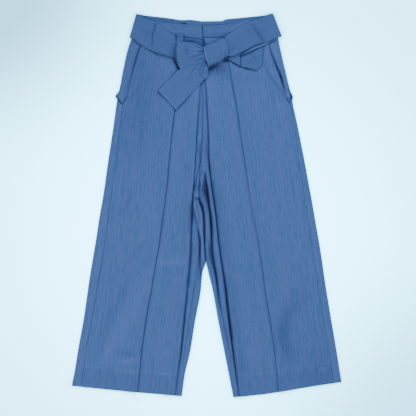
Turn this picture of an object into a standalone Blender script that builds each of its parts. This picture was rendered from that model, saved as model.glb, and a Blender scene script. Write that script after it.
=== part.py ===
"""Wide-legged hakama trousers of striped cotton, laid flat with the front up.

Left and right are the wearer's: the right leg lies at -X and the left leg at +X.
The waist points to +Y. Lengths are millimetres in the tables and become metres
when a mesh is made. "out" is the distance from X = 0 toward a leg's own side.
"""
import math
from collections import namedtuple

import bmesh
import bpy
from mathutils import Vector

MM = 0.001

# ---- cloth ------------------------------------------------------------------
CLOTH = 1.0             # wall of a single layer
DOUBLED = 1.6           # wall of a waistband or sash, two layers sewn together
SEAM_GAP = 0.3          # between neighbouring pieces
PITCH = CLOTH + SEAM_GAP

# Middle heights of the layers that lie on each other
FLOOR_LAYER = CLOTH / 2
FIRST_LAYER = FLOOR_LAYER + PITCH
SECOND_LAYER = FIRST_LAYER + PITCH
THIRD_LAYER = SECOND_LAYER + PITCH

# ---- waist ------------------------------------------------------------------
WAIST_SEAM_Y = 417.5    # front waist seam at the centre front
WAIST_RISE = 17.5       # how far the seam curves up by the time it reaches the side
WAIST_HALF_WIDTH = 170.0
CENTRE_SLIT_OUT = 8.0   # the slit lies a little to the wearer's right of X = 0
BAND_HEIGHT = 31.5
BACK_BAND_TOP_Y = 459.0

# The back stretch of the sash lies under everything at the waist and lifts it
SASH_LIFT = DOUBLED + SEAM_GAP
LIFT_START_Y = 357.5
LIFT_END_Y = 387.5

# ---- pleats -----------------------------------------------------------------
LEG_PLEAT_DEPTH = 24.0      # cloth hidden under the fold down the middle of the leg
CENTRE_PLEAT_DEPTH = 20.0   # and under the fold beside the centre strip
PLEAT_RAMP = 13.0           # over which a layer climbs onto the hidden fold
FOLD_STEPS = 4              # facets round each half turn
POCKET_UNDERLAP = 25.0      # how far the facing reaches under the pocket mouth
STRIP_CLEARANCE = 1.8       # flat margin on each side of the centre strip's folds

# Half-round profile of a bunched fold: share of its width, share of its height
ROUNDED_FOLD = [(0.16, 0.56), (0.36, 0.95), (0.64, 0.95), (0.84, 0.56)]

POCKET_BOTTOM_Y = 250.0

# One row for each section across a leg, from the waist down.
# side: outline. seam: pocket mouth, then side seam. crease: fold down the middle.
# pleat: fold beside the centre strip. inner: centre seam, then inseam.
# puff: how much higher the centre pleat stands. bulge: height of the strip's own
# rounded folds; groove_at: where they part (0 at inner, 1 at pleat), and how deeply.
Section = namedtuple("Section", "y side seam crease pleat inner puff bulge groove_at groove")

RIGHT_LEG = [
    Section(417.5, 176.5, 157.0, 55.0, 13.0, 8.2, 0.0, 0.0, 0.5, 0.0),
    Section(387.5, 193.2, 165.8, 59.0, 12.5, 6.5, 0.0, 0.0, 0.5, 0.0),
    Section(357.5, 202.5, 175.5, 63.0, 13.0, 7.5, 0.0, 0.0, 0.5, 0.0),
    Section(312.5, 211.0, 186.2, 69.0, 14.5, 8.2, 0.0, 0.2, 0.5, 0.0),
    Section(267.5, 221.2, 198.8, 75.0, 17.5, 9.0, 0.5, 0.5, 0.5, 0.0),
    Section(250.0, 224.0, 209.0, 77.5, 19.0, 9.0, 0.7, 0.7, 0.5, 0.0),
    Section(200.0, 230.8, 215.0, 83.5, 22.5, 9.0, 1.2, 1.2, 0.5, 0.0),
    Section(112.5, 244.0, 226.0, 93.0, 27.5, 13.7, 2.0, 2.2, 0.5, 0.0),
    Section(50.0, 252.8, 233.5, 98.0, 31.0, 17.5, 2.6, 3.2, 0.5, 0.1),
    Section(12.5, 258.6, 238.0, 103.0, 34.5, 17.0, 3.0, 3.8, 0.5, 0.2),
    Section(-25.0, 265.3, 243.0, 108.0, 36.0, 6.0, 3.2, 4.2, 0.42, 0.4),
    Section(-87.5, 275.0, 251.0, 116.5, 39.0, 4.0, 3.2, 4.2, 0.39, 0.8),
    Section(-137.5, 283.4, 258.5, 125.0, 41.0, 0.15, 3.0, 4.0, 0.38, 0.8),
    Section(-167.5, 288.5, 264.0, 130.0, 44.0, 8.8, 2.8, 3.4, 0.25, 0.6),
    Section(-212.5, 295.2, 272.0, 137.5, 48.0, 13.0, 2.4, 2.8, 0.3, 0.2),
    Section(-287.5, 306.0, 285.0, 151.0, 55.5, 27.0, 1.8, 2.2, 0.5, 0.0),
    Section(-362.5, 319.0, 298.0, 161.5, 62.5, 39.8, 1.0, 1.4, 0.5, 0.0),
    Section(-465.0, 335.5, 312.0, 172.5, 75.0, 60.5, 0.0, 0.3, 0.5, 0.0),
]

LEFT_LEG = [
    Section(417.5, 176.5, 148.0, 49.0, -3.5, -7.9, 0.0, 0.0, 0.5, 0.0),
    Section(387.5, 184.5, 159.0, 54.0, -1.5, -6.2, 0.0, 0.0, 0.5, 0.0),
    Section(357.5, 193.0, 170.0, 58.0, -1.5, -7.2, 0.0, 0.0, 0.5, 0.0),
    Section(312.5, 203.5, 187.5, 65.0, -0.5, -7.9, 0.0, 0.2, 0.5, 0.0),
    Section(267.5, 214.8, 201.0, 74.0, 2.5, -8.7, 0.5, 0.5, 0.5, 0.0),
    Section(250.0, 217.7, 210.0, 77.0, 3.5, -8.7, 0.7, 0.7, 0.5, 0.0),
    Section(200.0, 228.5, 221.0, 84.0, 6.5, -8.7, 1.2, 1.2, 0.5, 0.0),
    Section(112.5, 245.8, 231.0, 97.5, 8.8, -13.4, 2.0, 2.2, 0.5, 0.5),
    Section(50.0, 257.3, 241.0, 107.0, 15.5, -17.2, 2.6, 3.2, 0.53, 0.9),
    Section(12.5, 264.3, 246.0, 113.5, 21.0, -16.7, 3.0, 3.8, 0.59, 1.0),
    Section(-25.0, 270.7, 252.5, 119.5, 26.5, -5.7, 3.2, 4.2, 0.51, 1.0),
    Section(-87.5, 281.8, 262.0, 130.5, 33.0, -3.7, 3.2, 4.2, 0.48, 1.0),
    Section(-137.5, 289.8, 269.5, 138.5, 40.0, 0.15, 3.0, 4.0, 0.44, 1.0),
    Section(-167.5, 294.0, 275.0, 143.0, 44.5, 6.0, 2.8, 3.6, 0.43, 0.9),
    Section(-212.5, 300.7, 281.0, 148.5, 50.5, 16.8, 2.4, 3.2, 0.37, 0.8),
    Section(-287.5, 313.0, 294.0, 161.0, 59.0, 30.5, 1.8, 2.6, 0.41, 0.6),
    Section(-362.5, 324.5, 305.5, 172.5, 69.5, 46.3, 1.0, 1.8, 0.5, 0.5),
    Section(-465.0, 338.5, 319.0, 182.5, 82.5, 68.3, 0.0, 0.3, 0.5, 0.3),
]

# The hem droops toward the inseam. Heights of the hem at a few places across.
HemPoint = namedtuple("HemPoint", "out y")
RIGHT_HEM = [HemPoint(60.0, -477.5), HemPoint(200.0, -465.6), HemPoint(335.0, -452.0)]
LEFT_HEM = [
    HemPoint(68.0, -480.3), HemPoint(144.0, -473.0), HemPoint(189.0, -466.0),
    HemPoint(279.0, -450.8), HemPoint(335.0, -443.0),
]

# ---- pocket facings: one row for each level, from the waist down --------------
FacingRow = namedtuple("FacingRow", "y outer inner")
RIGHT_FACING = [
    FacingRow(417.5, 176.0, 132.0),
    FacingRow(387.5, 193.2, 142.0),
    FacingRow(357.5, 202.5, 152.5),
    FacingRow(312.5, 211.5, 163.0),
    FacingRow(288.0, 214.5, 172.0),
    FacingRow(279.0, 222.0, 180.0),
    FacingRow(272.0, 226.5, 188.0),
    FacingRow(268.0, 224.5, 201.5),
    FacingRow(261.0, 218.5, 204.5),
    FacingRow(254.0, 212.5, 209.0),
]
LEFT_FACING = [
    FacingRow(417.5, 175.0, 123.0),
    FacingRow(387.5, 184.0, 134.0),
    FacingRow(357.5, 192.5, 145.0),
    FacingRow(312.5, 203.8, 162.5),
    FacingRow(288.0, 209.0, 173.0),
    FacingRow(279.0, 213.5, 180.0),
    FacingRow(272.0, 217.0, 188.0),
    FacingRow(268.0, 217.5, 202.5),
    FacingRow(261.0, 215.5, 206.0),
    FacingRow(256.0, 213.5, 209.5),
]

# ---- sash ---------------------------------------------------------------------
# A strip has one row for each section along it. Each row gives the strip's upper
# edge, its middle and its lower edge as (x, y, z).
Strip = namedtuple("Strip", "upper middle lower")

SASH_FLOOR = DOUBLED / 2                # middle height of the back stretch
SASH_TOP = 7.9                          # and of the front stretches over the side
TURN_RADIUS = (SASH_TOP - SASH_FLOOR) / 2
TURN_STEPS = 6
GATHERS = 3                             # folds drawn together at the knot


def smooth(t):
    """Ease from 0 to 1."""
    t = min(1.0, max(0.0, t))
    return t * t * (3.0 - 2.0 * t)


def between(low, high, t):
    return low + (high - low) * t


def lift(y):
    """How far the sash's back stretch raises what lies on it."""
    t = (y - LIFT_START_Y) / (LIFT_END_Y - LIFT_START_Y)
    return SASH_LIFT * min(1.0, max(0.0, t))


def waist_curve(x):
    """Rise of the waist seam toward the sides."""
    t = (x + CENTRE_SLIT_OUT) / WAIST_HALF_WIDTH
    return WAIST_RISE * min(1.2, t * t)


def hem_height(hem, out):
    """Y of the hem at a distance from X = 0, through the hem's points."""
    for near, far in zip(hem, hem[1:]):
        if out <= far.out:
            break
    t = (out - near.out) / (far.out - near.out)
    return between(near.y, far.y, t)


def section_y(rows, index, out, side, hem):
    """Y of a leg's section: curved at the waist, slanted along the hem."""
    y = rows[index].y
    if index == 0:
        return y - SEAM_GAP + waist_curve(side * out)
    if index == 1:
        return y + 0.35 * waist_curve(side * out)
    if index == len(rows) - 1:
        return hem_height(hem, out)
    if index == len(rows) - 2:
        return y + 0.35 * (hem_height(hem, out) - rows[-1].y)
    return y


# ---- making objects -------------------------------------------------------------

def make_material(name, colour, roughness=0.85):
    """Matt cotton; colour is linear."""
    material = bpy.data.materials.new(name)
    material.use_nodes = True
    shader = material.node_tree.nodes["Principled BSDF"]
    shader.inputs["Base Color"].default_value = (*colour, 1.0)
    shader.inputs["Roughness"].default_value = roughness
    shader.inputs["Metallic"].default_value = 0.0
    return material


def cloth_from_grid(name, grid, wall, colour):
    """A cloth wall lofted through sections of equal point count."""
    columns = len(grid[0])
    points = [Vector(point) * MM for row in grid for point in row]
    faces = []
    for i in range(len(grid) - 1):
        for j in range(columns - 1):
            a = i * columns + j
            faces.append((a, a + 1, a + 1 + columns, a + columns))
    mesh = bpy.data.meshes.new(name)
    mesh.from_pydata(points, [], faces)
    mesh.shade_smooth()
    piece = bpy.data.objects.new(name, mesh)
    part.objects.link(piece)
    mesh.materials.append(make_material("cotton_" + name, colour))
    thicken = piece.modifiers.new("wall", "SOLIDIFY")
    thicken.thickness = wall * MM
    thicken.offset = 0.0
    thicken.use_even_offset = True
    return piece


# ---- legs -------------------------------------------------------------------------

def half_turn(path, at, start, end, facing):
    """Add a fold between two heights whose edge stands at `at`.

    facing is +1 when the fold's edge points outward and -1 when it points inward.
    """
    middle = (start + end) / 2
    radius = abs(end - start) / 2
    for step in range(FOLD_STEPS + 1):
        angle = math.pi * step / FOLD_STEPS
        out = at - facing * radius * (1.0 - math.sin(angle))
        path.append((out, middle + (start - middle) * math.cos(angle)))


def knife_pleat(path, edge, depth, top):
    """The layer climbs, folds under at `edge`, runs back and goes on below."""
    path.append((edge + depth + PLEAT_RAMP, FIRST_LAYER))
    path.append((edge + depth + 2.0, THIRD_LAYER))
    path.append((edge + depth * 0.45, top))
    half_turn(path, edge, top, SECOND_LAYER, -1)
    path.append((edge + depth * 0.5, SECOND_LAYER))
    half_turn(path, edge + depth, SECOND_LAYER, FIRST_LAYER, 1)
    path.append((edge + depth * 0.4, FIRST_LAYER))


def front_path(row):
    """Section of a front leg from its side edge to the centre, as (out, z)."""
    over_facing = smooth((row.y - POCKET_BOTTOM_Y) / 17.5)
    edge_height = between(FIRST_LAYER, THIRD_LAYER, over_facing)
    path = [
        (row.seam, edge_height),
        (row.seam - 5.0, edge_height),
        (row.seam - POCKET_UNDERLAP - 2.0, edge_height),
        (row.seam - POCKET_UNDERLAP - 17.0, FIRST_LAYER),
    ]
    knife_pleat(path, row.crease, LEG_PLEAT_DEPTH, THIRD_LAYER)
    path.append((row.crease - 3.0, FIRST_LAYER))
    knife_pleat(path, row.pleat, CENTRE_PLEAT_DEPTH, THIRD_LAYER + row.puff)
    centre_strip(path, row)
    return path


def centre_strip(path, row):
    """The strip's two rounded folds, from the centre pleat to the centre seam."""
    start = row.pleat - STRIP_CLEARANCE
    end = row.inner + STRIP_CLEARANCE
    part_at = between(end, start, row.groove_at)
    crest = FIRST_LAYER + row.bulge
    path.append((start, FIRST_LAYER))
    for near, far in ((start, part_at), (part_at, end)):
        for share, height in ROUNDED_FOLD:
            path.append((between(near, far, share), between(FIRST_LAYER, crest, height)))
        if far == part_at:
            path.append((part_at, between(crest, FIRST_LAYER, row.groove)))
    path.append((end, FIRST_LAYER))
    path.append((row.inner, FIRST_LAYER))


def back_path(row):
    """Section of a back leg from the centre to its rolled side edge."""
    wrapped = smooth((265.0 - row.y) / 15.0)
    wrap_end = between(row.side - 3.0, row.seam + SEAM_GAP, wrapped)
    path = [(row.inner, FLOOR_LAYER)]
    for share in (0.12, 0.3, 0.5, 0.7, 0.88):
        path.append((between(row.inner, row.side, share), FLOOR_LAYER))
    half_turn(path, row.side, FLOOR_LAYER, FIRST_LAYER, 1)
    path.append((between(row.side, wrap_end, 0.6), FIRST_LAYER))
    path.append((wrap_end, FIRST_LAYER))
    return path


def make_leg(name, rows, side, hem, path_of, colour):
    grid = []
    for index, row in enumerate(rows):
        raised = lift(row.y)
        grid.append([
            (side * out, section_y(rows, index, out, side, hem), z + raised)
            for out, z in path_of(row)
        ])
    return cloth_from_grid(name, grid, CLOTH, colour)


def make_facing(name, rows, side, colour):
    """A flat piece of the back's cloth seen inside the pocket mouth."""
    grid = []
    for index, row in enumerate(rows):
        shift = (1.0, 0.35)[index] if index < 2 else 0.0
        line = []
        for share in (0.0, 0.25, 0.5, 0.75, 1.0):
            out = between(row.outer, row.inner, share)
            y = row.y - SEAM_GAP + shift * waist_curve(side * out)
            line.append((side * out, y, SECOND_LAYER + lift(row.y)))
        grid.append(line)
    return cloth_from_grid(name, grid, CLOTH, colour)


# ---- waistband ----------------------------------------------------------------------

def make_band(name, stations, height, low_gap, top_of, colour):
    """A waistband standing on the waist seam line; stations are (low x, top x)."""
    grid = []
    for low_x, top_x in stations:
        low_y = WAIST_SEAM_Y + low_gap + waist_curve(low_x)
        top_y = top_of(top_x)
        grid.append([
            (between(low_x, top_x, share), between(low_y, top_y, share), height)
            for share in (0.0, 0.35, 0.65, 1.0)
        ])
    return cloth_from_grid(name, grid, DOUBLED, colour)


def front_band_top(x):
    return WAIST_SEAM_Y + BAND_HEIGHT + waist_curve(x)


def back_band_top(x):
    return BACK_BAND_TOP_Y + 0.55 * waist_curve(x)


# ---- sash ---------------------------------------------------------------------------

def along_strip(row, share):
    """Point across a strip's section: a parabola through its three points."""
    upper = 2.0 * (share - 0.5) * (share - 1.0)
    middle = 4.0 * share * (1.0 - share)
    lower = 2.0 * share * (share - 0.5)
    return tuple(
        upper * a + middle * b + lower * c
        for a, b, c in zip(row.upper, row.middle, row.lower)
    )


def straight(upper, lower):
    """A strip's row whose middle lies halfway between its edges."""
    middle = tuple((a + b) / 2 for a, b in zip(upper, lower))
    return Strip(upper, middle, lower)


def side_turn(upper, lower, outward):
    """Rows that carry the sash round the waist's side, from the floor to the front.

    upper and lower are the fold's ends as (x, y); outward is -1 at the right side.
    """
    rows = []
    for step in range(TURN_STEPS + 1):
        angle = math.pi * step / TURN_STEPS
        reach = outward * TURN_RADIUS * (math.sin(angle) - 1.0)
        z = SASH_FLOOR + TURN_RADIUS * (1.0 - math.cos(angle))
        rows.append(straight(
            (upper[0] + reach, upper[1], z),
            (lower[0] + reach, lower[1], z),
        ))
    return rows


def make_strip(name, rows, wall, colour, across=6, gathered=None):
    """Cloth lofted through a strip's rows; gathered gives each row's fold height."""
    grid = []
    for index, row in enumerate(rows):
        line = []
        for step in range(across + 1):
            share = step / across
            x, y, z = along_strip(row, share)
            if gathered:
                z += gathered[index] * math.sin(math.pi * GATHERS * share) ** 2
            line.append((x, y, z))
        grid.append(line)
    return cloth_from_grid(name, grid, wall, colour)


def make_sash_back(colour):
    rows = [
        straight((-155.0, 474.0, SASH_FLOOR), (-168.0, 412.0, SASH_FLOOR)),
        straight((-90.0, 466.6, SASH_FLOOR), (-92.0, 404.0, SASH_FLOOR)),
        straight((-60.0, 462.4, SASH_FLOOR), (-60.0, 400.0, SASH_FLOOR)),
        straight((-38.0, 462.8, SASH_FLOOR), (-38.0, 398.0, SASH_FLOOR)),
        straight((-15.0, 459.8, SASH_FLOOR), (-15.0, 395.5, SASH_FLOOR)),
        straight((6.0, 457.5, SASH_FLOOR), (6.0, 394.0, SASH_FLOOR)),
        straight((35.0, 458.5, SASH_FLOOR), (37.0, 397.5, SASH_FLOOR)),
        straight((51.0, 464.4, SASH_FLOOR), (54.0, 400.0, SASH_FLOOR)),
        straight((75.0, 466.8, SASH_FLOOR), (80.0, 404.5, SASH_FLOOR)),
        straight((148.0, 474.0, SASH_FLOOR), (166.0, 413.0, SASH_FLOOR)),
    ]
    return make_strip("sash_back", rows, DOUBLED, colour)


def make_sash_right(colour):
    """From the back round the wearer's right side to the knot."""
    rows = [straight((-155.3, 474.3, SASH_FLOOR), (-168.3, 412.8, SASH_FLOOR))]
    rows += side_turn((-174.0, 476.5), (-191.0, 417.0), -1)
    rows += [
        straight((-152.5, 465.0, SASH_TOP), (-162.5, 399.0, SASH_TOP)),
        straight((-126.0, 455.0, SASH_TOP), (-134.0, 384.0, SASH_TOP)),
        straight((-92.5, 433.0, SASH_TOP), (-100.0, 373.0, SASH_TOP)),
        straight((-76.0, 421.5, SASH_TOP), (-76.0, 366.5, SASH_TOP)),
        straight((-52.0, 404.0, SASH_TOP), (-40.0, 360.0, SASH_TOP)),
        straight((-8.0, 388.0, SASH_TOP), (0.0, 358.5, SASH_TOP)),
        straight((22.0, 382.0, SASH_TOP), (22.0, 361.0, SASH_TOP)),
    ]
    return make_strip("sash_front_right", rows, DOUBLED, colour, across=7)


def make_sash_left(colour):
    """From the back round the wearer's left side to the knot."""
    rows = [straight((148.3, 474.3, SASH_FLOOR), (166.3, 413.8, SASH_FLOOR))]
    rows += side_turn((167.5, 477.5), (189.5, 420.5), 1)
    rows += [
        straight((140.0, 467.5, 10.4), (160.0, 410.0, 10.4)),
        straight((106.0, 455.0, 11.1), (124.0, 397.5, 11.1)),
        straight((75.0, 439.0, 11.1), (95.0, 383.0, 11.1)),
        straight((53.0, 423.0, 11.1), (62.0, 370.0, 11.1)),
        straight((41.0, 412.0, 11.4), (41.0, 378.0, 11.4)),
    ]
    return make_strip("sash_front_left", rows, DOUBLED, colour, across=7)


def make_sash_under_edge(colour):
    """The second edge that shows below the left stretch."""
    rows = [
        straight((163.0, 415.0, 8.3), (160.0, 404.5, 8.3)),
        straight((147.0, 408.5, 8.9), (141.5, 396.5, 8.9)),
        straight((116.0, 396.0, 9.4), (110.5, 383.5, 9.4)),
        straight((93.0, 384.5, 9.5), (87.0, 373.0, 9.5)),
    ]
    return make_strip("sash_under_edge", rows, CLOTH, colour, across=2)


def make_bow_loop(colour):
    """The half bow: out over the right stretch, round its fold and back."""
    low = 11.3
    high = 16.5
    turn = (high - low) / 2
    rows = [
        Strip((-11.0, 389.0, low), (-9.0, 375.0, low), (-6.0, 362.0, 10.6)),
        Strip((-38.0, 402.0, low), (-36.0, 376.0, low), (-30.0, 351.0, 8.7)),
        Strip((-60.0, 407.5, low), (-61.0, 371.0, low), (-52.0, 343.0, 7.6)),
    ]
    for step in range(TURN_STEPS + 1):
        angle = math.pi * step / TURN_STEPS
        reach = turn * (1.0 - math.sin(angle))
        rise = (1.0 - math.cos(angle)) / 2.0
        z = between(low, high, rise)
        rows.append(Strip(
            (-75.0 + reach, 408.5, z),
            (-77.5 + reach, 371.0, z),
            (-65.5 + reach, 338.5, between(7.0, 10.6, rise)),
        ))
    rows += [
        Strip((-58.0, 409.0, high), (-60.0, 372.0, 16.8), (-52.0, 342.0, 10.9)),
        Strip((-30.0, 406.0, high), (-32.0, 376.0, 17.2), (-30.0, 349.5, 11.0)),
        Strip((-9.5, 396.0, 15.4), (-7.5, 378.0, 15.8), (-4.5, 360.5, 13.0)),
    ]
    gathered = [0.0] * (3 + TURN_STEPS + 1) + [0.3, 1.1, 1.9]
    return make_strip("bow_loop", rows, DOUBLED, colour, across=18, gathered=gathered)


def make_tail_right(colour):
    """The long tail, down from the knot across the right leg."""
    rows = [
        straight((-2.0, 358.5, 12.4), (4.4, 345.5, 10.6)),
        straight((-20.0, 351.0, 13.6), (5.0, 322.0, 8.6)),
        straight((-42.5, 345.0, 13.4), (-6.0, 311.0, 7.4)),
        straight((-64.0, 338.0, 12.9), (-25.0, 291.0, 6.4)),
        straight((-92.5, 311.0, 7.2), (-50.0, 264.0, 6.2)),
        straight((-119.0, 285.0, 5.6), (-75.0, 237.5, 6.2)),
    ]
    gathered = [0.6, 2.2, 1.4, 0.6, 0.2, 0.0]
    return make_strip("sash_tail_right", rows, DOUBLED, colour, across=12, gathered=gathered)


def make_tail_left(colour):
    """The short tail that comes out below the left stretch."""
    on_leg = THIRD_LAYER + CLOTH / 2 + SEAM_GAP + DOUBLED / 2

    def at(x, y, raised=0.0):
        return (x, y, on_leg + raised + lift(y))

    rows = [
        straight(at(45.0, 377.0, 0.3), at(50.5, 367.0, 0.6)),
        straight(at(66.0, 380.0, 0.1), at(68.5, 356.5, 1.2)),
        straight(at(86.0, 386.0), at(86.0, 346.5, 1.4)),
        straight(at(88.5, 387.0), at(88.5, 345.5)),
        straight(at(106.0, 390.0), at(106.0, 341.5)),
        straight(at(124.0, 388.0), at(126.0, 337.5)),
        straight(at(131.0, 390.5), at(133.0, 342.5)),
        straight(at(142.0, 394.5), at(139.5, 352.5)),
    ]
    return make_strip("sash_tail_left", rows, DOUBLED, colour, across=6)


def make_knot_wrap(colour):
    """The turn of sash that comes over the knot and tucks in below it."""
    rows = [
        straight((-4.2, 387.0, 14.4), (42.5, 408.0, 14.2)),
        straight((-5.8, 392.5, 14.7), (44.0, 414.5, 14.5)),
        straight((-7.0, 395.5, 16.4), (45.2, 417.5, 16.2)),
        straight((-6.2, 392.8, 18.2), (46.5, 414.8, 18.0)),
        straight((-4.5, 384.0, 20.0), (51.0, 403.0, 19.4)),
        straight((-2.5, 374.0, 20.6), (54.0, 391.0, 18.6)),
        straight((-0.5, 364.0, 20.4), (54.5, 380.0, 17.6)),
        straight((2.5, 354.0, 18.8), (53.5, 372.0, 16.2)),
        straight((5.5, 346.5, 15.6), (51.5, 366.5, 14.4)),
        straight((7.0, 343.0, 12.0), (49.5, 363.5, 11.6)),
        straight((9.0, 347.0, 9.4), (48.0, 366.5, 9.4)),
    ]
    gathered = [0.0, 0.1, 0.4, 0.7, 0.8, 0.8, 0.8, 0.7, 0.4, 0.2, 0.0]
    return make_strip("sash_knot", rows, DOUBLED, colour, across=12, gathered=gathered)


def make_knot_core(colour):
    """The cloth bunched inside the knot."""
    centre = Vector((20.0, 377.0, 14.1)) * MM
    half = Vector((16.0, 18.0, 4.9)) * MM
    mesh = bpy.data.meshes.new("knot_core")
    lump = bmesh.new()
    bmesh.ops.create_uvsphere(lump, u_segments=20, v_segments=10, radius=1.0)
    for vertex in lump.verts:
        around = math.atan2(vertex.co.y, vertex.co.x)
        swell = 1.0 + 0.05 * math.cos(5.0 * around)
        vertex.co = Vector((
            centre.x + vertex.co.x * half.x * swell,
            centre.y + vertex.co.y * half.y * swell,
            centre.z + vertex.co.z * half.z,
        ))
    lump.to_mesh(mesh)
    lump.free()
    mesh.shade_smooth()
    mesh.materials.append(make_material("cotton_knot_core", colour))
    part.objects.link(bpy.data.objects.new("knot_core", mesh))


def make_belt_loop(name, x_left, x_right, levels, colour):
    """A narrow band that hangs from the waist seam; levels are (y, z)."""
    rows = [straight((x_left, y, z), (x_right, y, z)) for y, z in levels]
    return make_strip(name, rows, CLOTH, colour, across=2)


# ---- build ----------------------------------------------------------------------------

for old in list(bpy.data.objects):
    bpy.data.objects.remove(old)

part = bpy.data.collections.new("hakama_trousers")
bpy.context.scene.collection.children.link(part)

LEG_BLUE = (0.083, 0.186, 0.407)
BAND_BLUE = (0.056, 0.138, 0.328)
SASH_BLUE = (0.068, 0.163, 0.366)

make_leg("right_back_leg", RIGHT_LEG, -1, RIGHT_HEM, back_path, LEG_BLUE)
make_leg("left_back_leg", LEFT_LEG, 1, LEFT_HEM, back_path, LEG_BLUE)
make_leg("right_front_leg", RIGHT_LEG, -1, RIGHT_HEM, front_path, LEG_BLUE)
make_leg("left_front_leg", LEFT_LEG, 1, LEFT_HEM, front_path, LEG_BLUE)
make_facing("right_pocket_facing", RIGHT_FACING, -1, LEG_BLUE)
make_facing("left_pocket_facing", LEFT_FACING, 1, LEG_BLUE)

BACK_BAND_Z = SASH_LIFT + DOUBLED / 2
FRONT_BAND_Z = BACK_BAND_Z + DOUBLED + SEAM_GAP

make_band(
    "back_waistband",
    [(-177.0, -169.0), (-125.0, -120.0), (-60.0, -58.0), (-8.0, -8.0),
     (60.0, 58.0), (120.0, 115.0), (173.0, 163.0)],
    BACK_BAND_Z, 0.0, back_band_top, BAND_BLUE,
)
make_band(
    "right_front_waistband",
    [(-177.0, -168.0), (-125.0, -120.0), (-60.0, -59.0), (-8.2, -10.0)],
    FRONT_BAND_Z, 0.0, front_band_top, BAND_BLUE,
)
make_band(
    "left_front_waistband",
    [(-7.6, -9.4), (60.0, 58.0), (120.0, 115.0), (173.0, 162.0)],
    FRONT_BAND_Z, 0.0, front_band_top, BAND_BLUE,
)

make_sash_back(SASH_BLUE)
make_sash_right(SASH_BLUE)
make_sash_left(SASH_BLUE)
make_sash_under_edge(SASH_BLUE)
make_bow_loop(SASH_BLUE)
make_knot_core(SASH_BLUE)
make_knot_wrap(SASH_BLUE)
make_tail_right(SASH_BLUE)
make_tail_left(SASH_BLUE)

make_belt_loop(
    "right_belt_loop", -72.5, -57.5,
    [(427.5, 6.2), (425.0, 6.5), (422.0, 9.5), (418.0, 9.5), (374.0, 9.5)],
    BAND_BLUE,
)
make_belt_loop(
    "left_belt_loop", 49.0, 62.5,
    [(430.5, 6.2), (426.0, 6.6), (418.0, 8.6), (408.0, 9.4), (392.0, 9.4)],
    BAND_BLUE,
)
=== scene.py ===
# %% [markdown]
# # Hakama trousers, laid flat
# Wide trousers of blue striped cotton, with knife pleats, slanted pockets and a sash
# tied in a half bow. The solids of the frame already have the right sizes and layers.
# Here every cut piece of cloth becomes a thin shell on its solid, with the soft creases,
# seams, stitches and frayed yarn that make it read as real cloth.
# Lengths are in millimetres until a mesh is made.

import math
import random
from collections import namedtuple
from functools import partial

import bmesh
import bpy
import numpy as np
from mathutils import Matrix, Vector, noise


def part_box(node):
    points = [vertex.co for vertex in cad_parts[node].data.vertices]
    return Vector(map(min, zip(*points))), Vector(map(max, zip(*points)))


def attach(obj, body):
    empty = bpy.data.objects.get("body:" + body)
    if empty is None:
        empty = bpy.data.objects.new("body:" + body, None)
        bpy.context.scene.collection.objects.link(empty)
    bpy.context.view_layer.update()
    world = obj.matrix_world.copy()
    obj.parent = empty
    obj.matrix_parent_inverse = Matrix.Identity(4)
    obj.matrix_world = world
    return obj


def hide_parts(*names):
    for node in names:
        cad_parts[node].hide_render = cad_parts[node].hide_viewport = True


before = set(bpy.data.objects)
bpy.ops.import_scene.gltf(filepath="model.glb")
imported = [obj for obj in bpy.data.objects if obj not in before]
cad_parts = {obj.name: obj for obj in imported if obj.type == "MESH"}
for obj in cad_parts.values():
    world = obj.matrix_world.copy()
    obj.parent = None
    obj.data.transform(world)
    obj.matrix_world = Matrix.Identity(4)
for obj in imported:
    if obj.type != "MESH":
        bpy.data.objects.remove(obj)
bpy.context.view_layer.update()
MM = 0.001

print("nodes:", len(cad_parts))

# %% [markdown]
# ## Camera, light and floor
# Clothes for a catalogue are photographed from straight above on pale board, under big
# soft lamps. A long lens high above keeps both hems the same size. The lamps stand low
# around the board, so that folds in every direction keep dark gaps. The ones beyond the
# waist and at the right are stronger, which models the soft creases. The board glows, a
# painted light brightest in the middle, so that it stays paler than the lamps alone would
# make it. Painted shade greys it toward two far corners, and a painted shadow darkens it
# beside the cloth.

# %% Camera
FRAME_WIDTH = 1040.0          # what the picture shows, from side to side
LENS = 140.0
SENSOR = 36.0
VIEW_MIDDLE_X, VIEW_MIDDLE_Y = 5.0, -7.5

camera_data = bpy.data.cameras.new("camera")
camera_data.lens = LENS
camera_data.sensor_width = SENSOR
camera = bpy.data.objects.new("camera", camera_data)
camera.location = (VIEW_MIDDLE_X * MM, VIEW_MIDDLE_Y * MM, FRAME_WIDTH * LENS / SENSOR * MM)
bpy.context.scene.collection.objects.link(camera)
bpy.context.scene.camera = camera
print("camera height in m:", round(camera.location.z, 2))


# %% Colours and nodes
def linear(hex_colour):
    """An sRGB hex colour as linear RGBA."""
    channels = [int(hex_colour[i:i + 2], 16) / 255 for i in (1, 3, 5)]
    return [
        c / 12.92 if c <= 0.04045 else ((c + 0.055) / 1.055) ** 2.4 for c in channels
    ] + [1.0]


def add_node(material, kind, inputs=(), output=None, **settings):
    """Add a node; gives back the output that is named, or else the first open one.

    An input is a value, or an output of another node, which is then linked to it.
    """
    node = material.node_tree.nodes.new("ShaderNode" + kind)
    for name, value in settings.items():
        setattr(node, name, value)
    for name, value in inputs.items() if isinstance(inputs, dict) else enumerate(inputs):
        if isinstance(value, bpy.types.NodeSocket):
            material.node_tree.links.new(value, node.inputs[name])
        else:
            node.inputs[name].default_value = value
    if output:
        return node.outputs[output]
    return next((socket for socket in node.outputs if socket.enabled), None)


def new_material(name):
    """A material that has no nodes yet."""
    material = bpy.data.materials.new(name)
    material.use_nodes = True
    material.node_tree.nodes.clear()
    return material


print("mid blue in linear light:", [round(c, 3) for c in linear("#5177AB")[:3]])


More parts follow.
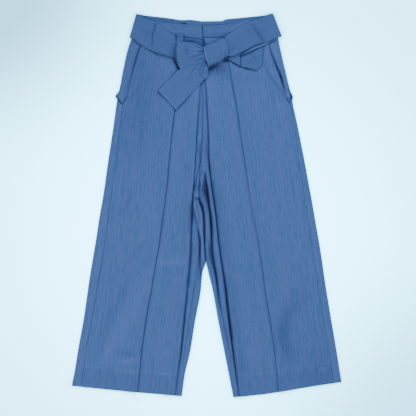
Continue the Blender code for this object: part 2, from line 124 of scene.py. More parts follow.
# %% Lamps
def add_lamp(name, spot, size, power, colour):
    """A square soft lamp that shines on the middle of the trousers."""
    lamp = bpy.data.lights.new(name, "AREA")
    lamp.size = size
    lamp.energy = power
    lamp.color = linear(colour)[:3]
    holder = bpy.data.objects.new(name, lamp)
    holder.location = spot
    holder.rotation_euler = (-Vector(spot)).to_track_quat("-Z", "Y").to_euler()
    bpy.context.scene.collection.objects.link(holder)


LAMP_SIZE = 1.1
LAMPS = {
    "waist_softbox": ((0.2, 2.3, 1.5), 29.5, "#EAF7FF"),
    "right_softbox": ((2.3, 0.6, 1.45), 36.5, "#F8FAFF"),
    "left_softbox": ((-2.25, -0.6, 1.45), 35.5, "#FFFAFC"),
    "hem_softbox": ((-0.3, -2.4, 1.7), 21.0, "#FFF6F0"),
}
ROOM_LIGHT = 0.12

for lamp_name, (lamp_spot, lamp_power, lamp_colour) in LAMPS.items():
    add_lamp(lamp_name, lamp_spot, LAMP_SIZE, lamp_power, lamp_colour)

world = bpy.data.worlds.new("studio")
world.use_nodes = True
background = world.node_tree.nodes["Background"]
background.inputs["Color"].default_value = linear("#EAF6FF")
background.inputs["Strength"].default_value = ROOM_LIGHT
bpy.context.scene.world = world
print("lamps:", len(LAMPS))


# %% Floor board
# Painted light: the paint and its glow are brightest in the middle and greyer far out
BOARD_PALE, BOARD_FAR = "#EDF7FC", "#DDE9EE"
GLOW_NEAR = (1.3, 7.0, 10.2, 1.0)
GLOW_FAR = (0.9, 3.4, 5.0, 1.0)
GLOW_MIDDLE = (0.0, -0.06, 0.0)
GLOW_REACH = (0.2, 0.75)      # in metres from the middle, where it starts and ends to fade
# Painted shade toward two far corners: place and reach in metres, and how dark
DIM_CORNERS = [((-0.56, 0.56, 0.0), 0.5, 0.43), ((0.56, -0.56, 0.0), 0.5, 0.65)]
DIM_CORE = 0.1
# Painted shadow: the board's glow darkens close beside the cloth
SHADOW_REACH = 0.022          # in metres, how far from the cloth the board turns darker
BOARD_HALF = 3.0
BOARD_DROP = 0.0003           # keeps the board just clear of the cloth that lies on it
WHITE = (1.0, 1.0, 1.0, 1.0)
BLEND = {"data_type": "RGBA"}
MULTIPLY = {"data_type": "RGBA", "blend_type": "MULTIPLY"}


def painted_board():
    """Matt paint with a painted glow, brightest in the middle; painted shade greys it toward two
    far corners, and a painted shadow darkens it beside the cloth.
    """
    board = new_material("painted_board_matt")
    node = partial(add_node, board)
    here = node("NewGeometry", output="Position")

    def away_from(point, near, far):
        """From 0 at a point to 1 away from it."""
        away = node("VectorMath", [here, point], operation="DISTANCE")
        reach = {"Value": away, "From Min": near, "From Max": far}
        return node("MapRange", reach, interpolation_type="SMOOTHSTEP")

    fade = away_from(GLOW_MIDDLE, *GLOW_REACH)
    paints = {"Factor": fade, "A": linear(BOARD_PALE), "B": linear(BOARD_FAR)}
    colour = node("Mix", paints, **BLEND)
    glow = node("Mix", {"Factor": fade, "A": GLOW_NEAR, "B": GLOW_FAR}, **BLEND)
    # painted shade toward the far corners, on both the paint and the glow
    for corner, reach, darkest in DIM_CORNERS:
        share = away_from(corner, DIM_CORE, reach)
        grey = (darkest, darkest, darkest, 1.0)
        dim = node("Mix", {"Factor": share, "A": grey, "B": WHITE}, **BLEND)
        colour = node("Mix", {"Factor": 1.0, "A": colour, "B": dim}, **MULTIPLY)
        glow = node("Mix", {"Factor": 1.0, "A": glow, "B": dim}, **MULTIPLY)
    # painted shadow: the glow is darkened where the cloth is close
    open_sky = node("AmbientOcclusion", {"Distance": SHADOW_REACH})
    shade = node("Mix", {"Factor": 1.0, "A": open_sky, "B": open_sky}, **MULTIPLY)
    glow = node("Mix", {"Factor": 1.0, "A": glow, "B": shade}, **MULTIPLY)
    paint = node("BsdfPrincipled", {
        "Base Color": colour, "Emission Color": glow, "Emission Strength": 1.0,
        "Roughness": 0.75,
    })
    node("OutputMaterial", {"Surface": paint})
    return board


def make_floor():
    """A large square board under the trousers."""
    mesh = bpy.data.meshes.new("floor")
    corners = [(-1, -1), (1, -1), (1, 1), (-1, 1)]
    mesh.from_pydata([(x * BOARD_HALF, y * BOARD_HALF, 0) for x, y in corners], [], [range(4)])
    mesh.materials.append(painted_board())
    floor = bpy.data.objects.new("floor", mesh)
    floor.location.z = -BOARD_DROP
    # the board's glow stands for a light tent, so it doesn't light the cloth's cut edges
    floor.visible_diffuse = False
    bpy.context.scene.collection.objects.link(floor)
    return floor


print("floor:", make_floor().name)

# %% [markdown]
# ## The cloth
# The cloth is a light yarn-dyed cotton: fine stripes of a paler and a darker blue run
# with the warp. Uneven yarns make some stripes stronger than others, and the dye drifts
# slowly between a violet blue and a green blue. Cotton is matt, with a faint sheen where
# its fuzz catches light from the side. The stripes could be a painted image. Waves and
# noise, worked out in millimetres, keep the same pitch on every piece and stay sharp.
# Each shell carries a "grain" map in millimetres: u across the warp, v along it. So the
# stripes follow the cloth round every fold, as woven stripes do. Shade is painted into
# the colour as a deeper blue where the cloth lies folded or under an edge, and highlights
# are painted as a paler blue on ridges and along seams. An attribute on the mesh says how
# much, below zero for a painted highlight, so such lines can be placed one by one.

# %% Striped cotton
SHADE_PAINT = "#070F3C"           # painted shade, the deep blue mixed in where folds and edges shade the cloth
HIGHLIGHT_PAINT = "#7D98EE"            # painted highlight, the paler blue mixed in on ridges and along stitches
STRIPE_PITCH = 6.6            # two warp stripes, from a paler one to the next
FINE_PITCH = 2.3
YARN_PITCH = 1.3              # real yarns lie 0.3 mm apart; drawn coarser so that they show
STRIPE_RANGE, STRIPE_LEAST = 0.35, 0.15    # a pale stripe's strength varies by chance
FINE_STRENGTH = 0.2
# Patches by size in mm across and along the warp, and then by weight
SLUBS_AND_WEFT = [((3.4, 26.0), 1.3), ((2.4, 110.0), 0.7), ((30.0, 2.6), 0.4)]
PATTERN_MEAN = 1.46           # of the stripes, slubs and weft together
WAVER_SIZE = (30.0, 240.0)    # patches where the warp leans aside
DRIFTS = [((7.0, 40.0), 0.6), ((34.0, 170.0, 2.0), 0.4)]
DRIFT_RANGE = (0.38, 0.62)
VIOLET_SHARE = 0.55
YARN_RELIEF, PATTERN_RELIEF = 0.12, 0.5


def striped_cotton(name, pale, deep, violet, contrast, waver):
    """Yarn-dyed cotton whose stripes run along v of the grain map."""
    cotton = new_material(name)
    node = partial(add_node, cotton)
    grain = node("UVMap", uv_map="grain")
    u, v, _ = node("SeparateXYZ", {"Vector": grain}).node.outputs

    def patches(u_size, v_size, detail=1.0):
        """Soft random patches from 0 to 1, of a size in mm across and along the warp."""
        stretched = node("Mapping", {"Vector": grain, "Scale": (1 / u_size, 1 / v_size, 1.0)})
        return node("TexNoise", {"Vector": stretched, "Scale": 1.0, "Detail": detail})

    def wave(along, pitch):
        """A wave from -1 to 1, of a pitch in mm."""
        turns = node("Math", [along, 2 * math.pi / pitch], operation="MULTIPLY")
        return node("Math", [turns], operation="SINE")

    def weighted(*parts):
        """The sum of parts, each times its own weight."""
        total = 0.0
        for part, weight in parts:
            total = node("Math", [part, weight, total], operation="MULTIPLY_ADD")
        return total

    across = node("Math", [patches(*WAVER_SIZE), waver, u], operation="MULTIPLY_ADD")
    broad, fine = (
        node("Math", [wave(across, pitch), 0.5, 0.5], operation="MULTIPLY_ADD")
        for pitch in (STRIPE_PITCH, FINE_PITCH)
    )
    pitches = node("Math", [across, STRIPE_PITCH], operation="DIVIDE")
    stripe = node("Math", [pitches], operation="FLOOR")
    chance = node("TexWhiteNoise", {"W": stripe}, output="Value", noise_dimensions="1D")
    strength = node("Math", [chance, STRIPE_RANGE, STRIPE_LEAST], operation="MULTIPLY_ADD")
    uneven = [(patches(*size), weight) for size, weight in SLUBS_AND_WEFT]
    pattern = weighted((broad, strength), (fine, FINE_STRENGTH), *uneven)
    lightness = [pattern, contrast, 0.5 - PATTERN_MEAN * contrast]
    tone = node("Math", lightness, operation="MULTIPLY_ADD")
    drift = node("MapRange", {
        "Value": weighted(*((patches(*size), weight) for size, weight in DRIFTS)),
        "From Min": DRIFT_RANGE[0], "From Max": DRIFT_RANGE[1], "To Max": VIOLET_SHARE,
    })
    # painted shade above zero and painted highlights below zero, mixed into the cloth's colour
    painted_shading = node("Attribute", output="Fac", attribute_name="painted_shade_and_highlight")
    painted_highlights = node("Math", [painted_shading, -1.0], operation="MULTIPLY")
    colour = linear(deep)
    for share, dye in [(tone, pale), (drift, violet), (painted_shading, SHADE_PAINT), (painted_highlights, HIGHLIGHT_PAINT)]:
        colour = node(
            "Mix", {"Factor": share, "A": colour, "B": linear(dye)},
            data_type="RGBA", clamp_factor=True,
        )
    yarns = [(wave(along, YARN_PITCH), YARN_RELIEF) for along in (u, v)]
    relief = weighted(*yarns, (pattern, PATTERN_RELIEF))
    fibres = node("BsdfPrincipled", {
        "Base Color": colour,
        "Normal": node("Bump", {"Height": relief, "Strength": 0.35, "Distance": 0.0004}),
        "Roughness": 0.88, "IOR": 1.45, "Specular IOR Level": 0.25,
        "Sheen Weight": 0.12, "Sheen Roughness": 0.5,
    })
    node("OutputMaterial", {"Surface": fibres})
    return cotton


COTTON = {
    "leg_cotton": striped_cotton(
        "striped_cotton_leg", "#5682C6", "#3E65A8", "#6075BF", contrast=0.85, waver=2.2,
    ),
    "band_cotton": striped_cotton(
        "striped_cotton_band", "#5178B8", "#3C5E98", "#526EB1", contrast=0.6, waver=1.2,
    ),
    "sash_cotton": striped_cotton(
        "striped_cotton_sash", "#5078B9", "#3B5E99", "#506CAE", contrast=0.5, waver=1.0,
    ),
}
print("cloths:", ", ".join(sorted(COTTON)))

# %% [markdown]
# ## From a grid of points to a piece of cloth
# Every piece is a grid: lines across it, one after the other along it. The faces between
# them make the middle of the cloth, and Solidify gives it its wall. Small helpers ease
# between heights, draw smooth curves through a table's rows, and read a crease's height.

# %% Helpers for shapes
def ease(t):
    """From 0 to 1, slowly at both ends."""
    t = np.clip(t, 0.0, 1.0)
    return t * t * (3.0 - 2.0 * t)


def mix(low, high, t):
    """From low to high as t goes from 0 to 1."""
    return low + (high - low) * t


def bell(distance, width):
    """From 1 on a line to 0 away from it."""
    return np.exp(-((distance / width) ** 2))


def glide(at, knots, values):
    """Smooth curves through rows of values that never swing past them."""
    gap = np.diff(knots)
    slope = np.diff(values, axis=0) / gap[:, None]
    before, after = slope[:-1], slope[1:]
    total = np.where(np.abs(before + after) < 1e-9, 1.0, before + after)
    bend = np.where(before * after > 0, 2.0 * before * after / total, 0.0)
    tangent = np.vstack([slope[:1], bend, slope[-1:]])
    i = np.clip(np.searchsorted(knots, at, side="right") - 1, 0, len(gap) - 1)
    t = ((at - knots[i]) / gap[i])[:, None]
    width = gap[i][:, None]
    return (
        values[i] * (1 + 2 * t) * (1 - t) ** 2 + values[i + 1] * t * t * (3 - 2 * t)
        + width * t * (1 - t) * (tangent[i] * (1 - t) - tangent[i + 1] * t)
    )


def soften(grid, passes):
    """Round the corners of each line across, and leave its ends."""
    for _ in range(passes):
        inside = (grid[:, :-2] + 2.0 * grid[:, 1:-1] + grid[:, 2:]) / 4.0
        grid = np.concatenate([grid[:, :1], inside, grid[:, -1:]], axis=1)
    return grid


def distances(grid, axis):
    """Length along the cloth to each point of a grid, from its first row or column."""
    steps = np.linalg.norm(np.diff(grid, axis=axis), axis=2)
    start = np.zeros_like(grid[:1, :, 0] if axis == 0 else grid[:, :1, 0])
    return np.concatenate([start, np.cumsum(steps, axis=axis)], axis=axis)


print("eased halfway:", float(ease(0.5)))


# %% Cloth from a grid
def place(name, mesh, finish):
    """Put a mesh into the scene, on the one body that the trousers are."""
    mesh.materials.append(finish)
    piece = bpy.data.objects.new(name, mesh)
    bpy.context.scene.collection.objects.link(piece)
    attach(piece, "root")
    return piece


def cloth(name, grid, grain, wall, slot, painted_shade_and_highlight=None):
    """A shell of cloth through a grid of points, with its grain map and its painted shade and
    highlights.
    """
    rows, columns = grid.shape[:2]
    mesh = bpy.data.meshes.new(name)
    index = np.arange(rows * columns).reshape(rows, columns)
    faces = np.stack(
        [index[:-1, :-1], index[:-1, 1:], index[1:, 1:], index[1:, :-1]], axis=-1
    ).reshape(-1, 4)
    mesh.from_pydata((grid.reshape(-1, 3) * MM).tolist(), [], faces.tolist())
    layer = mesh.uv_layers.new(name="grain")
    layer.data.foreach_set("uv", grain.reshape(-1, 2)[faces.ravel()].astype(np.float32).ravel())
    if painted_shade_and_highlight is not None:
        painted_shading = mesh.attributes.new("painted_shade_and_highlight", "FLOAT", "POINT")
        painted_shading.data.foreach_set("value", painted_shade_and_highlight.ravel().astype(np.float32))
    mesh.shade_smooth()
    piece = place(name + "_cloth", mesh, COTTON[slot])
    shell = piece.modifiers.new("wall", "SOLIDIFY")
    shell.thickness = wall * MM
    shell.offset = 0.0
    shell.use_rim = True
    return piece


def declare(node):
    """Hide the solid that the cloth stands for."""
    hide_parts(node)


# %% [markdown]
# ## Creases placed one by one
# Cloth that was folded and then spread out keeps soft ridges and troughs. Each one here
# has its own line, width and height; none is random. They are added to every layer at
# that place, so layers that lie on each other never cross.

# %% Crease lines
Crease = namedtuple("Crease", "height width line")

LEG_CREASES = [
    # right leg: long soft troughs down the outer panel
    Crease(-1.3, 7.0, [(-160, 250), (-163, 100), (-190, -50)]),
    Crease(-0.7, 5.0, [(-127, 250), (-129, 137)]),
    Crease(-0.9, 5.0, [(-215, 15), (-240, -20)]),
    Crease(-2.0, 9.0, [(-135, -67), (-197, -162), (-240, -275), (-265, -352)]),
    Crease(2.4, 8.0, [(-147, -165), (-190, -255), (-240, -360), (-262, -395)]),
    Crease(1.1, 3.5, [(-212, -402), (-190, -389), (-165, -398)]),
    Crease(0.9, 6.0, [(-122, -148), (-85, -151), (-50, -144)]),
    Crease(0.8, 6.0, [(-232, 120), (-238, 40), (-252, -40)]),
    # left leg
    Crease(-1.8, 10.0, [(237, -190), (197, -267), (185, -317), (210, -390)]),
    Crease(1.8, 10.0, [(262, -185), (226, -262), (213, -318), (236, -392)]),
    Crease(-0.6, 3.0, [(140, 97), (185, 106), (230, 110)]),
    Crease(0.7, 7.0, [(150, 230), (160, 120), (176, 0)]),
    Crease(-0.8, 7.0, [(100, 60), (112, -60), (128, -170)]),
    Crease(-0.9, 2.6, [(183, -407), (195, -403), (207, -389)]),
    # where the centre seams gather above the crotch
    Crease(2.4, 3.0, [(-10, 112), (-16, 80), (-22.5, 45), (-28.5, 31)]),
    Crease(2.2, 2.4, [(-37, 30), (-27, 30), (-15, 33)]),
    Crease(2.4, 2.6, [(-36, 14), (-28, -20), (-20, -55), (-12, -82)]),
    Crease(2.2, 2.8, [(-14, 22), (-1, -4), (9, -24), (12, -48)]),
]
END_FADE = 0.22               # share of a crease's length over which each end dies away


def along_segment(x, y, start, end):
    """How far along a segment each place lies, from 0 to 1, and how far from it."""
    (ax, ay), (bx, by) = start, end
    t = ((x - ax) * (bx - ax) + (y - ay) * (by - ay)) / ((bx - ax) ** 2 + (by - ay) ** 2)
    t = np.clip(t, 0.0, 1.0)
    return t, np.hypot(x - mix(ax, bx, t), y - mix(ay, by, t))


def crease_height(x, y, creases):
    """Height that the creases add at each place."""
    total = np.zeros_like(x)
    for crease in creases:
        lengths = [math.dist(a, b) for a, b in zip(crease.line, crease.line[1:])]
        nearest = np.full(x.shape, np.inf)
        share = np.zeros_like(x)
        passed = 0.0
        for start, end, length in zip(crease.line, crease.line[1:], lengths):
            t, away = along_segment(x, y, start, end)
            closer = away < nearest
            nearest = np.where(closer, away, nearest)
            share = np.where(closer, (passed + t * length) / sum(lengths), share)
            passed += length
        fade = ease(share / END_FADE) * ease((1.0 - share) / END_FADE)
        total += crease.height * fade * bell(nearest, crease.width)
    return total


def join(*strengths):
    """Several strengths from 0 to 1 laid over each other."""
    left = 1.0
    for strength in strengths:
        left = left * (1.0 - np.clip(strength, 0.0, 1.0))
    return 1.0 - left


def line_strength(x, y, lines):
    """How strongly lines are felt at each place; each has a width and points with strengths."""
    total = np.zeros_like(x)
    for width, points in lines:
        felt = np.zeros_like(x)
        for (*start, a), (*end, b) in zip(points, points[1:]):
            t, away = along_segment(x, y, start, end)
            felt = np.maximum(felt, mix(a, b, t) * bell(away, width))
        total = join(total, felt)
    return total


def drift_height(x, y, size_x, size_y, seed):
    """Slow unevenness from -1 to 1, of a size in mm."""
    flat = [
        noise.noise(Vector((a / size_x, b / size_y, seed)))
        for a, b in zip(x.ravel(), y.ravel())
    ]
    return np.array(flat).reshape(x.shape)


print("creases on the legs:", len(LEG_CREASES))

# %% Painted shade lines on the legs
LEG_SHADE_LINES = [
    # gathers above the crotch
    (3.4, [(-2.5, 80, .3), (-2, 73, .75), (-0.3, 60, .85), (1.9, 48.7, 1), (5.2, 23.7, 1),
           (7.5, -1, 1), (11.2, -26, 1), (13.2, -51, 1), (14.3, -76, .95), (15, -101, .8),
           (17, -130, .6), (20, -151, .75), (23.5, -166, .9), (28, -200, .75), (31, -225, .55),
           (34, -245, .3)]),
    (6.0, [(-5, 52, .2), (-1, 34, .6), (3, 16, .6), (5, -4, .3), (8, -20, .1)]),
    (4.6, [(-4.5, 72, .1), (-4, 62, .5), (-4, 52, .6), (-4.5, 42, .45), (-4, 30, .15)]),
    (7.0, [(-5, 48, .15), (-5, 37, .45), (-4, 26, .45), (-1.5, 14, .3), (1, 4, .05)]),
    (6.5, [(11, -85, .2), (11, -112, .65), (16, -138, .65), (22, -160, .4), (26, -178, .1)]),
    (3.0, [(-17, 16, .5), (-12.5, 6, .9), (-9, -1, 1), (-5.4, -26, 1), (-4, -51, 1),
           (-4, -76, .8), (-3.7, -101, .5), (-1.7, -126, .3), (-1, -135, .4)]),
    (4.4, [(10, -14, .2), (12.5, -34, .8), (14, -60, .6), (15, -80, .2)]),
    (3.0, [(-19, -60, .2), (-16.5, -76, .6), (-14.8, -86, 1), (-14.6, -97, 1), (-15, -115, 1),
           (-15.2, -128, .9), (-15, -151, .7), (-13.5, -168, .6), (-17, -190, .1)]),
    (2.6, [(-29, 17, .4), (-21, 15, .65), (-15, 12, .6)]),
    (3.0, [(-33, 5, .2), (-29, -20, .35), (-22.5, -51, .35), (-16.5, -78, .45)]),
    (4.5, [(-28, 56, .1), (-28.5, 48, .4), (-29, 36, .2)]),
    (4.0, [(-31, -12, .15), (-30.5, -26, .35), (-27, -42, .15)]),
    (4.0, [(-35, -88, .1), (-35, -101, .3), (-37, -126, .35), (-39, -150, .25), (-42, -200, .2)]),
    (2.2, [(-14, 108, .2), (-16, 99, .4), (-21, 74, .45), (-26, 49, .4), (-29, 40, .2)]),
    (2.0, [(-9, 99, .25), (-12.5, 74, .4), (-15.5, 60, .45), (-18.5, 47, .35), (-20, 40, .1)]),
    (4.0, [(-15, 160, .05), (-17, 138, .3), (-16, 118, .25), (-15, 105, .1)]),
    (4.5, [(1, 175, .05), (1.5, 150, .25), (2, 137, .35), (5, 112, .3), (8.5, 99, .4),
           (10.5, 80, .3)]),
    # broad painted shade: the hip, the troughs of the creases, one hem
    (55.0, [(-160, 380, .18), (-160, 300, .18), (-180, 220, .15), (-190, 150, .1), (-195, 60, 0)]),
    (6.0, [(-162, 250, .02), (-162, 180, .08), (-166, 110, .02)]),
    (7.0, [(-218, 240, .03), (-224, 180, .1), (-232, 110, .03)]),
    (7.0, [(-172, 62, .02), (-186, 25, .1), (-200, -4, .12), (-215, -20, .08), (-234, -30, .02)]),
    (7.0, [(-148, -85, .02), (-165, -108, .08), (-192, -140, .03)]),
    (12.0, [(-160, -130, .02), (-190, -185, .07), (-232, -270, .1), (-262, -345, .08),
            (-285, -400, .02)]),
    (14.0, [(45, 325, .1), (80, 318, .07), (118, 318, .1)]),
    (17.0, [(250, -205, .02), (228, -240, .15), (205, -275, .22), (192, -320, .26),
            (202, -365, .22), (218, -398, .08)]),
    (14.0, [(78, -380, .03), (88, -408, .1), (110, -415, .04)]),
    (8.0, [(-212, -368, .05), (-197, -374, .16), (-180, -373, .08)]),
    (45.0, [(285, -300, .02), (285, -380, .09), (285, -440, .1)]),
    # beside the pleats, lower down
    (2.2, [(-17, -110, .15), (-22, -159, .3), (-33, -230, .3), (-49, -337, .25), (-60, -394, .1)]),
    (2.2, [(35, -245, .3), (45, -292, .3), (55, -338, .3), (65, -391, .15)]),
    (3.0, [(46.5, -170, .2), (50.5, -200, .5), (55, -250, .6), (61.5, -300, .7), (67, -335, .5)]),
    (2.2, [(25, -170, .5), (27.5, -188, .8), (31, -225, .5), (35, -262, .4)]),
    (2.4, [(-46, -180, .2), (-50, -240, .3), (-56, -300, .4), (-62, -360, .4), (-68, -400, .1)]),
    # the centre seam
    (1.3, [(-8.4, 330, .3), (-8.6, 212, .35), (-8.7, 170, .3), (-10, 120, .2)]),
    (1.2, [(-6, 416, .5), (-6, 395, .5)]),
    # under the sash, its knot and its tails
    (1.6, [(-185, 409, .4), (-162, 396.5, .3), (-133.5, 381.5, .2), (-78, 365, .25)]),
    (1.8, [(86, 371, .8), (102.5, 379, .8), (117.5, 387, .8), (140, 395, .75), (175, 411, .6)]),
    (3.0, [(-60, 411, .3), (-45, 409, .4), (-30, 406, .4), (-15, 400, .35), (-7, 396, .4)]),
    (6.0, [(-60, 415, .2), (-30, 412, .25), (-10, 407, .25)]),
    (6.0, [(-1, 411, .06), (16, 414, .06)]),
    (3.4, [(-82, 369, .8), (-76, 355, 1), (-69, 341, .9), (-64, 336, .4)]),
    (4.0, [(8, 341, .7), (14, 342, .9), (24, 346, .8), (33, 352, .4)]),
    (4.0, [(41, 362, .9), (50, 361, 1)]),
    (11.0, [(12, 335, .35), (45, 340, .3)]),
    (2.2, [(52.5, 365, .9), (84.5, 346, .9), (104, 341, .6), (126, 337.5, .4)]),
    (1.6, [(142.8, 394, .4), (142, 375, .6), (140.5, 354, .6), (138, 348, .1)]),
    (1.4, [(-120, 284, .3), (-76, 236, .4), (-72, 238, .15), (-40, 272, .1), (-7, 309, .15)]),
    # pocket mouths, and the stitching that holds the pocket bag
    (2.0, [(158, 396, .6), (171, 357, .7), (186, 318, .9), (192, 300, .7), (197, 280, .2)]),
    (2.2, [(163, 380, .3), (176, 352, .5), (188, 322, .9), (193, 304, .5), (197, 290, .1)]),
    (2.0, [(-163, 398, .6), (-173, 372, .7), (-181, 347, .6), (-189, 317, .3), (-199, 285, .1)]),
    (1.6, [(-225, 272, .8), (-219, 264, 1), (-213.5, 256, .9), (-208, 250.5, .4)]),
    (2.4, [(206, 290, .4), (211, 281, .8), (213.5, 272, 1), (211, 264, .8)]),
    (2.4, [(142, 353, .28), (165, 315, .4), (189, 281, .38), (204, 256, .12)]),
    (1.3, [(-165, 300, .25), (-182, 275, .25), (-200, 262, .2)]),
]
# Painted highlights on ridges and puckers
LEG_HIGHLIGHT_LINES = [
    (2.2, [(-29, 0, .1), (-21, -26, .35), (-17, -51, .35), (-11, -76, .4), (-9, -101, .4),
           (-10, -126, .2)]),
    (2.0, [(1, -90, .1), (1.5, -101, .3), (2, -126, .3), (1, -140, .1)]),
    (2.4, [(-27, 28, .3), (-22, 24, .45), (-17, 27, .3)]),
    (1.4, [(-16.5, 33, .7), (-16, 29, .6)]),
    (1.8, [(-14, 94, .1), (-17, 75, .35), (-20.5, 58, .4), (-23, 46, .3)]),
    (1.8, [(-10.5, 76, .2), (-13.2, 64, .45), (-17, 50, .35)]),
    (17.0, [(-118, -126, .02), (-148, -190, .1), (-185, -265, .13), (-222, -335, .12),
            (-252, -385, .08)]),
    (8.0, [(-200, -300, .02), (-225, -340, .08), (-250, -380, .1), (-264, -402, .03)]),
    (10.0, [(-122, -142, .08), (-100, -143, .15), (-60, -140, .13)]),
    (10.0, [(-128, 40, .02), (-128, -20, .06), (-125, -75, .08), (-121, -112, .05)]),
    (2.0, [(103, 92, .05), (110.7, 37.5, .2), (118, -17, .25), (125, -70, .2), (133, -130, .05)]),
    (7.0, [(-222, -398, .03), (-204, -391, .18), (-182, -389, .2), (-172, -392, .06)]),
    (1.8, [(-203, -417, .1), (-185, -417, .2), (-172, -418, .1)]),
    (1.8, [(-116, -422, .3), (-98, -423, .2)]),
    (3.0, [(284, -411, .15), (298, -410, .2)]),
    (3.0, [(311, -384, .5), (324, -379, .6)]),
    (1.8, [(129, 336.5, .1), (134.5, 342, .4), (138.5, 349, .35), (140, 353, .05)]),
]
# the legs' lines of painted shade and of painted highlight
print("lines of kept dye on the legs:", len(LEG_SHADE_LINES), "and rubbed lines:", len(LEG_HIGHLIGHT_LINES))

# %% [markdown]
# ## The legs
# Each leg has a front and a back. The front starts at the pocket mouth and the side seam,
# folds under itself at the crease down the middle of the leg, folds again beside the
# centre, and ends in a bunched strip at the centre seam. Its shape is a section, the line
# that the cloth follows across the leg, worked out from one table row for each level.
# A simulation could drape the panels, but a section keeps each layer at its own height.
# The back lies flat on the board and rolls up over the side edge to meet the front.

# %% Layers and the waist
WALL = 0.6                    # cotton as it is drawn; the solid allows 1 mm
PITCH = 1.3                   # from the middle of one layer to the next
FLOOR_LAYER = 0.5
FIRST_LAYER = FLOOR_LAYER + PITCH
SECOND_LAYER = FIRST_LAYER + PITCH
THIRD_LAYER = SECOND_LAYER + PITCH

WAIST_SEAM_Y = 417.5
WAIST_RISE = 17.5
WAIST_HALF_WIDTH = 170.0
CENTRE_SLIT_OUT = 8.0
SEAM_GAP = 0.3
SASH_LIFT = 1.9
LIFT_START_Y = 357.5
LIFT_END_Y = 387.5
HEM_Y = -465.0
HEM_DEPTH = 50.0
CROTCH_Y = -137.5
TAIL_END_Y = 236.0            # the sash's long tail lies on the legs above this


def lift(y):
    """How far the sash's back stretch raises what lies on it."""
    return SASH_LIFT * np.clip((y - LIFT_START_Y) / (LIFT_END_Y - LIFT_START_Y), 0.0, 1.0)


def waist_curve(x):
    """Rise of the waist seam toward the sides."""
    return WAIST_RISE * np.minimum(1.2, ((x + CENTRE_SLIT_OUT) / WAIST_HALF_WIDTH) ** 2)


def front_waist_curve(x):
    """The front's seam also sags toward the slit, on the wearer's right side."""
    droop = np.interp(x, [-70.0, -45.0, -25.0, -8.1, -8.0], [0.8, -0.3, -2.6, -5.0, 0.0])
    return waist_curve(x) + droop


def waist_share(y):
    """How much of the waist's curve a level near the waist takes on."""
    return np.interp(y, [357.5, 387.5, WAIST_SEAM_Y], [0.0, 0.35, 1.0])


print("layers at", FLOOR_LAYER, FIRST_LAYER, round(SECOND_LAYER, 1), round(THIRD_LAYER, 1))

# %% Rows of the legs
# A row says where things lie at one level, as distances "out" from x = 0 toward the leg's
# own side: its side edge, its side seam, the fold down its middle, the fold of the centre
# pleat and its inner edge. Puff is how much higher the centre pleat's fold stands, bulge
# the height of the bunched strip, and a groove parts the strip, at a share of its width
# and down a share of its height.
Section = namedtuple("Section", "y side seam crease pleat inner puff bulge groove_at groove")

RIGHT_ROWS = np.array([
    (417.5, 176.5, 157, 55, 13, 8.2, 0, 0, 0.5, 0),
    (387.5, 193.2, 165.8, 59, 12.5, 6.5, 0, 0, 0.5, 0),
    (357.5, 202.5, 175.5, 63, 13, 7.5, 0, 0, 0.5, 0),
    (312.5, 211, 186.2, 69, 14.5, 8.2, 0.7, 0.5, 0.5, 0),
    (267.5, 221.2, 198.8, 75, 17.5, 9, 2, 1, 0.5, 0),
    (250, 224, 209, 77.5, 19, 9, 2.8, 1.4, 0.5, 0),
    (200, 230.8, 215, 83.5, 22.5, 9, 3.6, 2.2, 0.5, 0),
    (112.5, 244, 226, 93, 27.5, 13.7, 4.6, 4.2, 0.5, 0),
    (50, 252.8, 233.5, 98, 31, 17.5, 5.6, 6, 0.5, 0.1),
    (12.5, 258.6, 238, 103, 34.5, 17, 6.6, 7, 0.5, 0.2),
    (-25, 265.3, 243, 108, 36, 6, 7, 7.6, 0.42, 0.4),
    (-87.5, 275, 251, 116.5, 39, 4, 7, 7.6, 0.39, 0.8),
    (-137.5, 283.4, 258.5, 125, 41, 0.15, 6.6, 7.2, 0.38, 0.8),
    (-167.5, 288.5, 264, 130, 44, 8.8, 6, 6.2, 0.25, 0.6),
    (-212.5, 295.2, 272, 137.5, 48, 13, 5.4, 5.2, 0.3, 0.2),
    (-287.5, 306, 285, 151, 55.5, 27, 5, 4.2, 0.5, 0),
    (-362.5, 319, 298, 161.5, 63.8, 39.8, 4.2, 3.2, 0.5, 0),
    (-413, 326.3, 304.4, 166.5, 71.2, 52.6, 2.8, 2, 0.5, 0),
    (-465, 335.5, 312, 172.5, 77.5, 60.5, 1, 0.6, 0.5, 0),
])
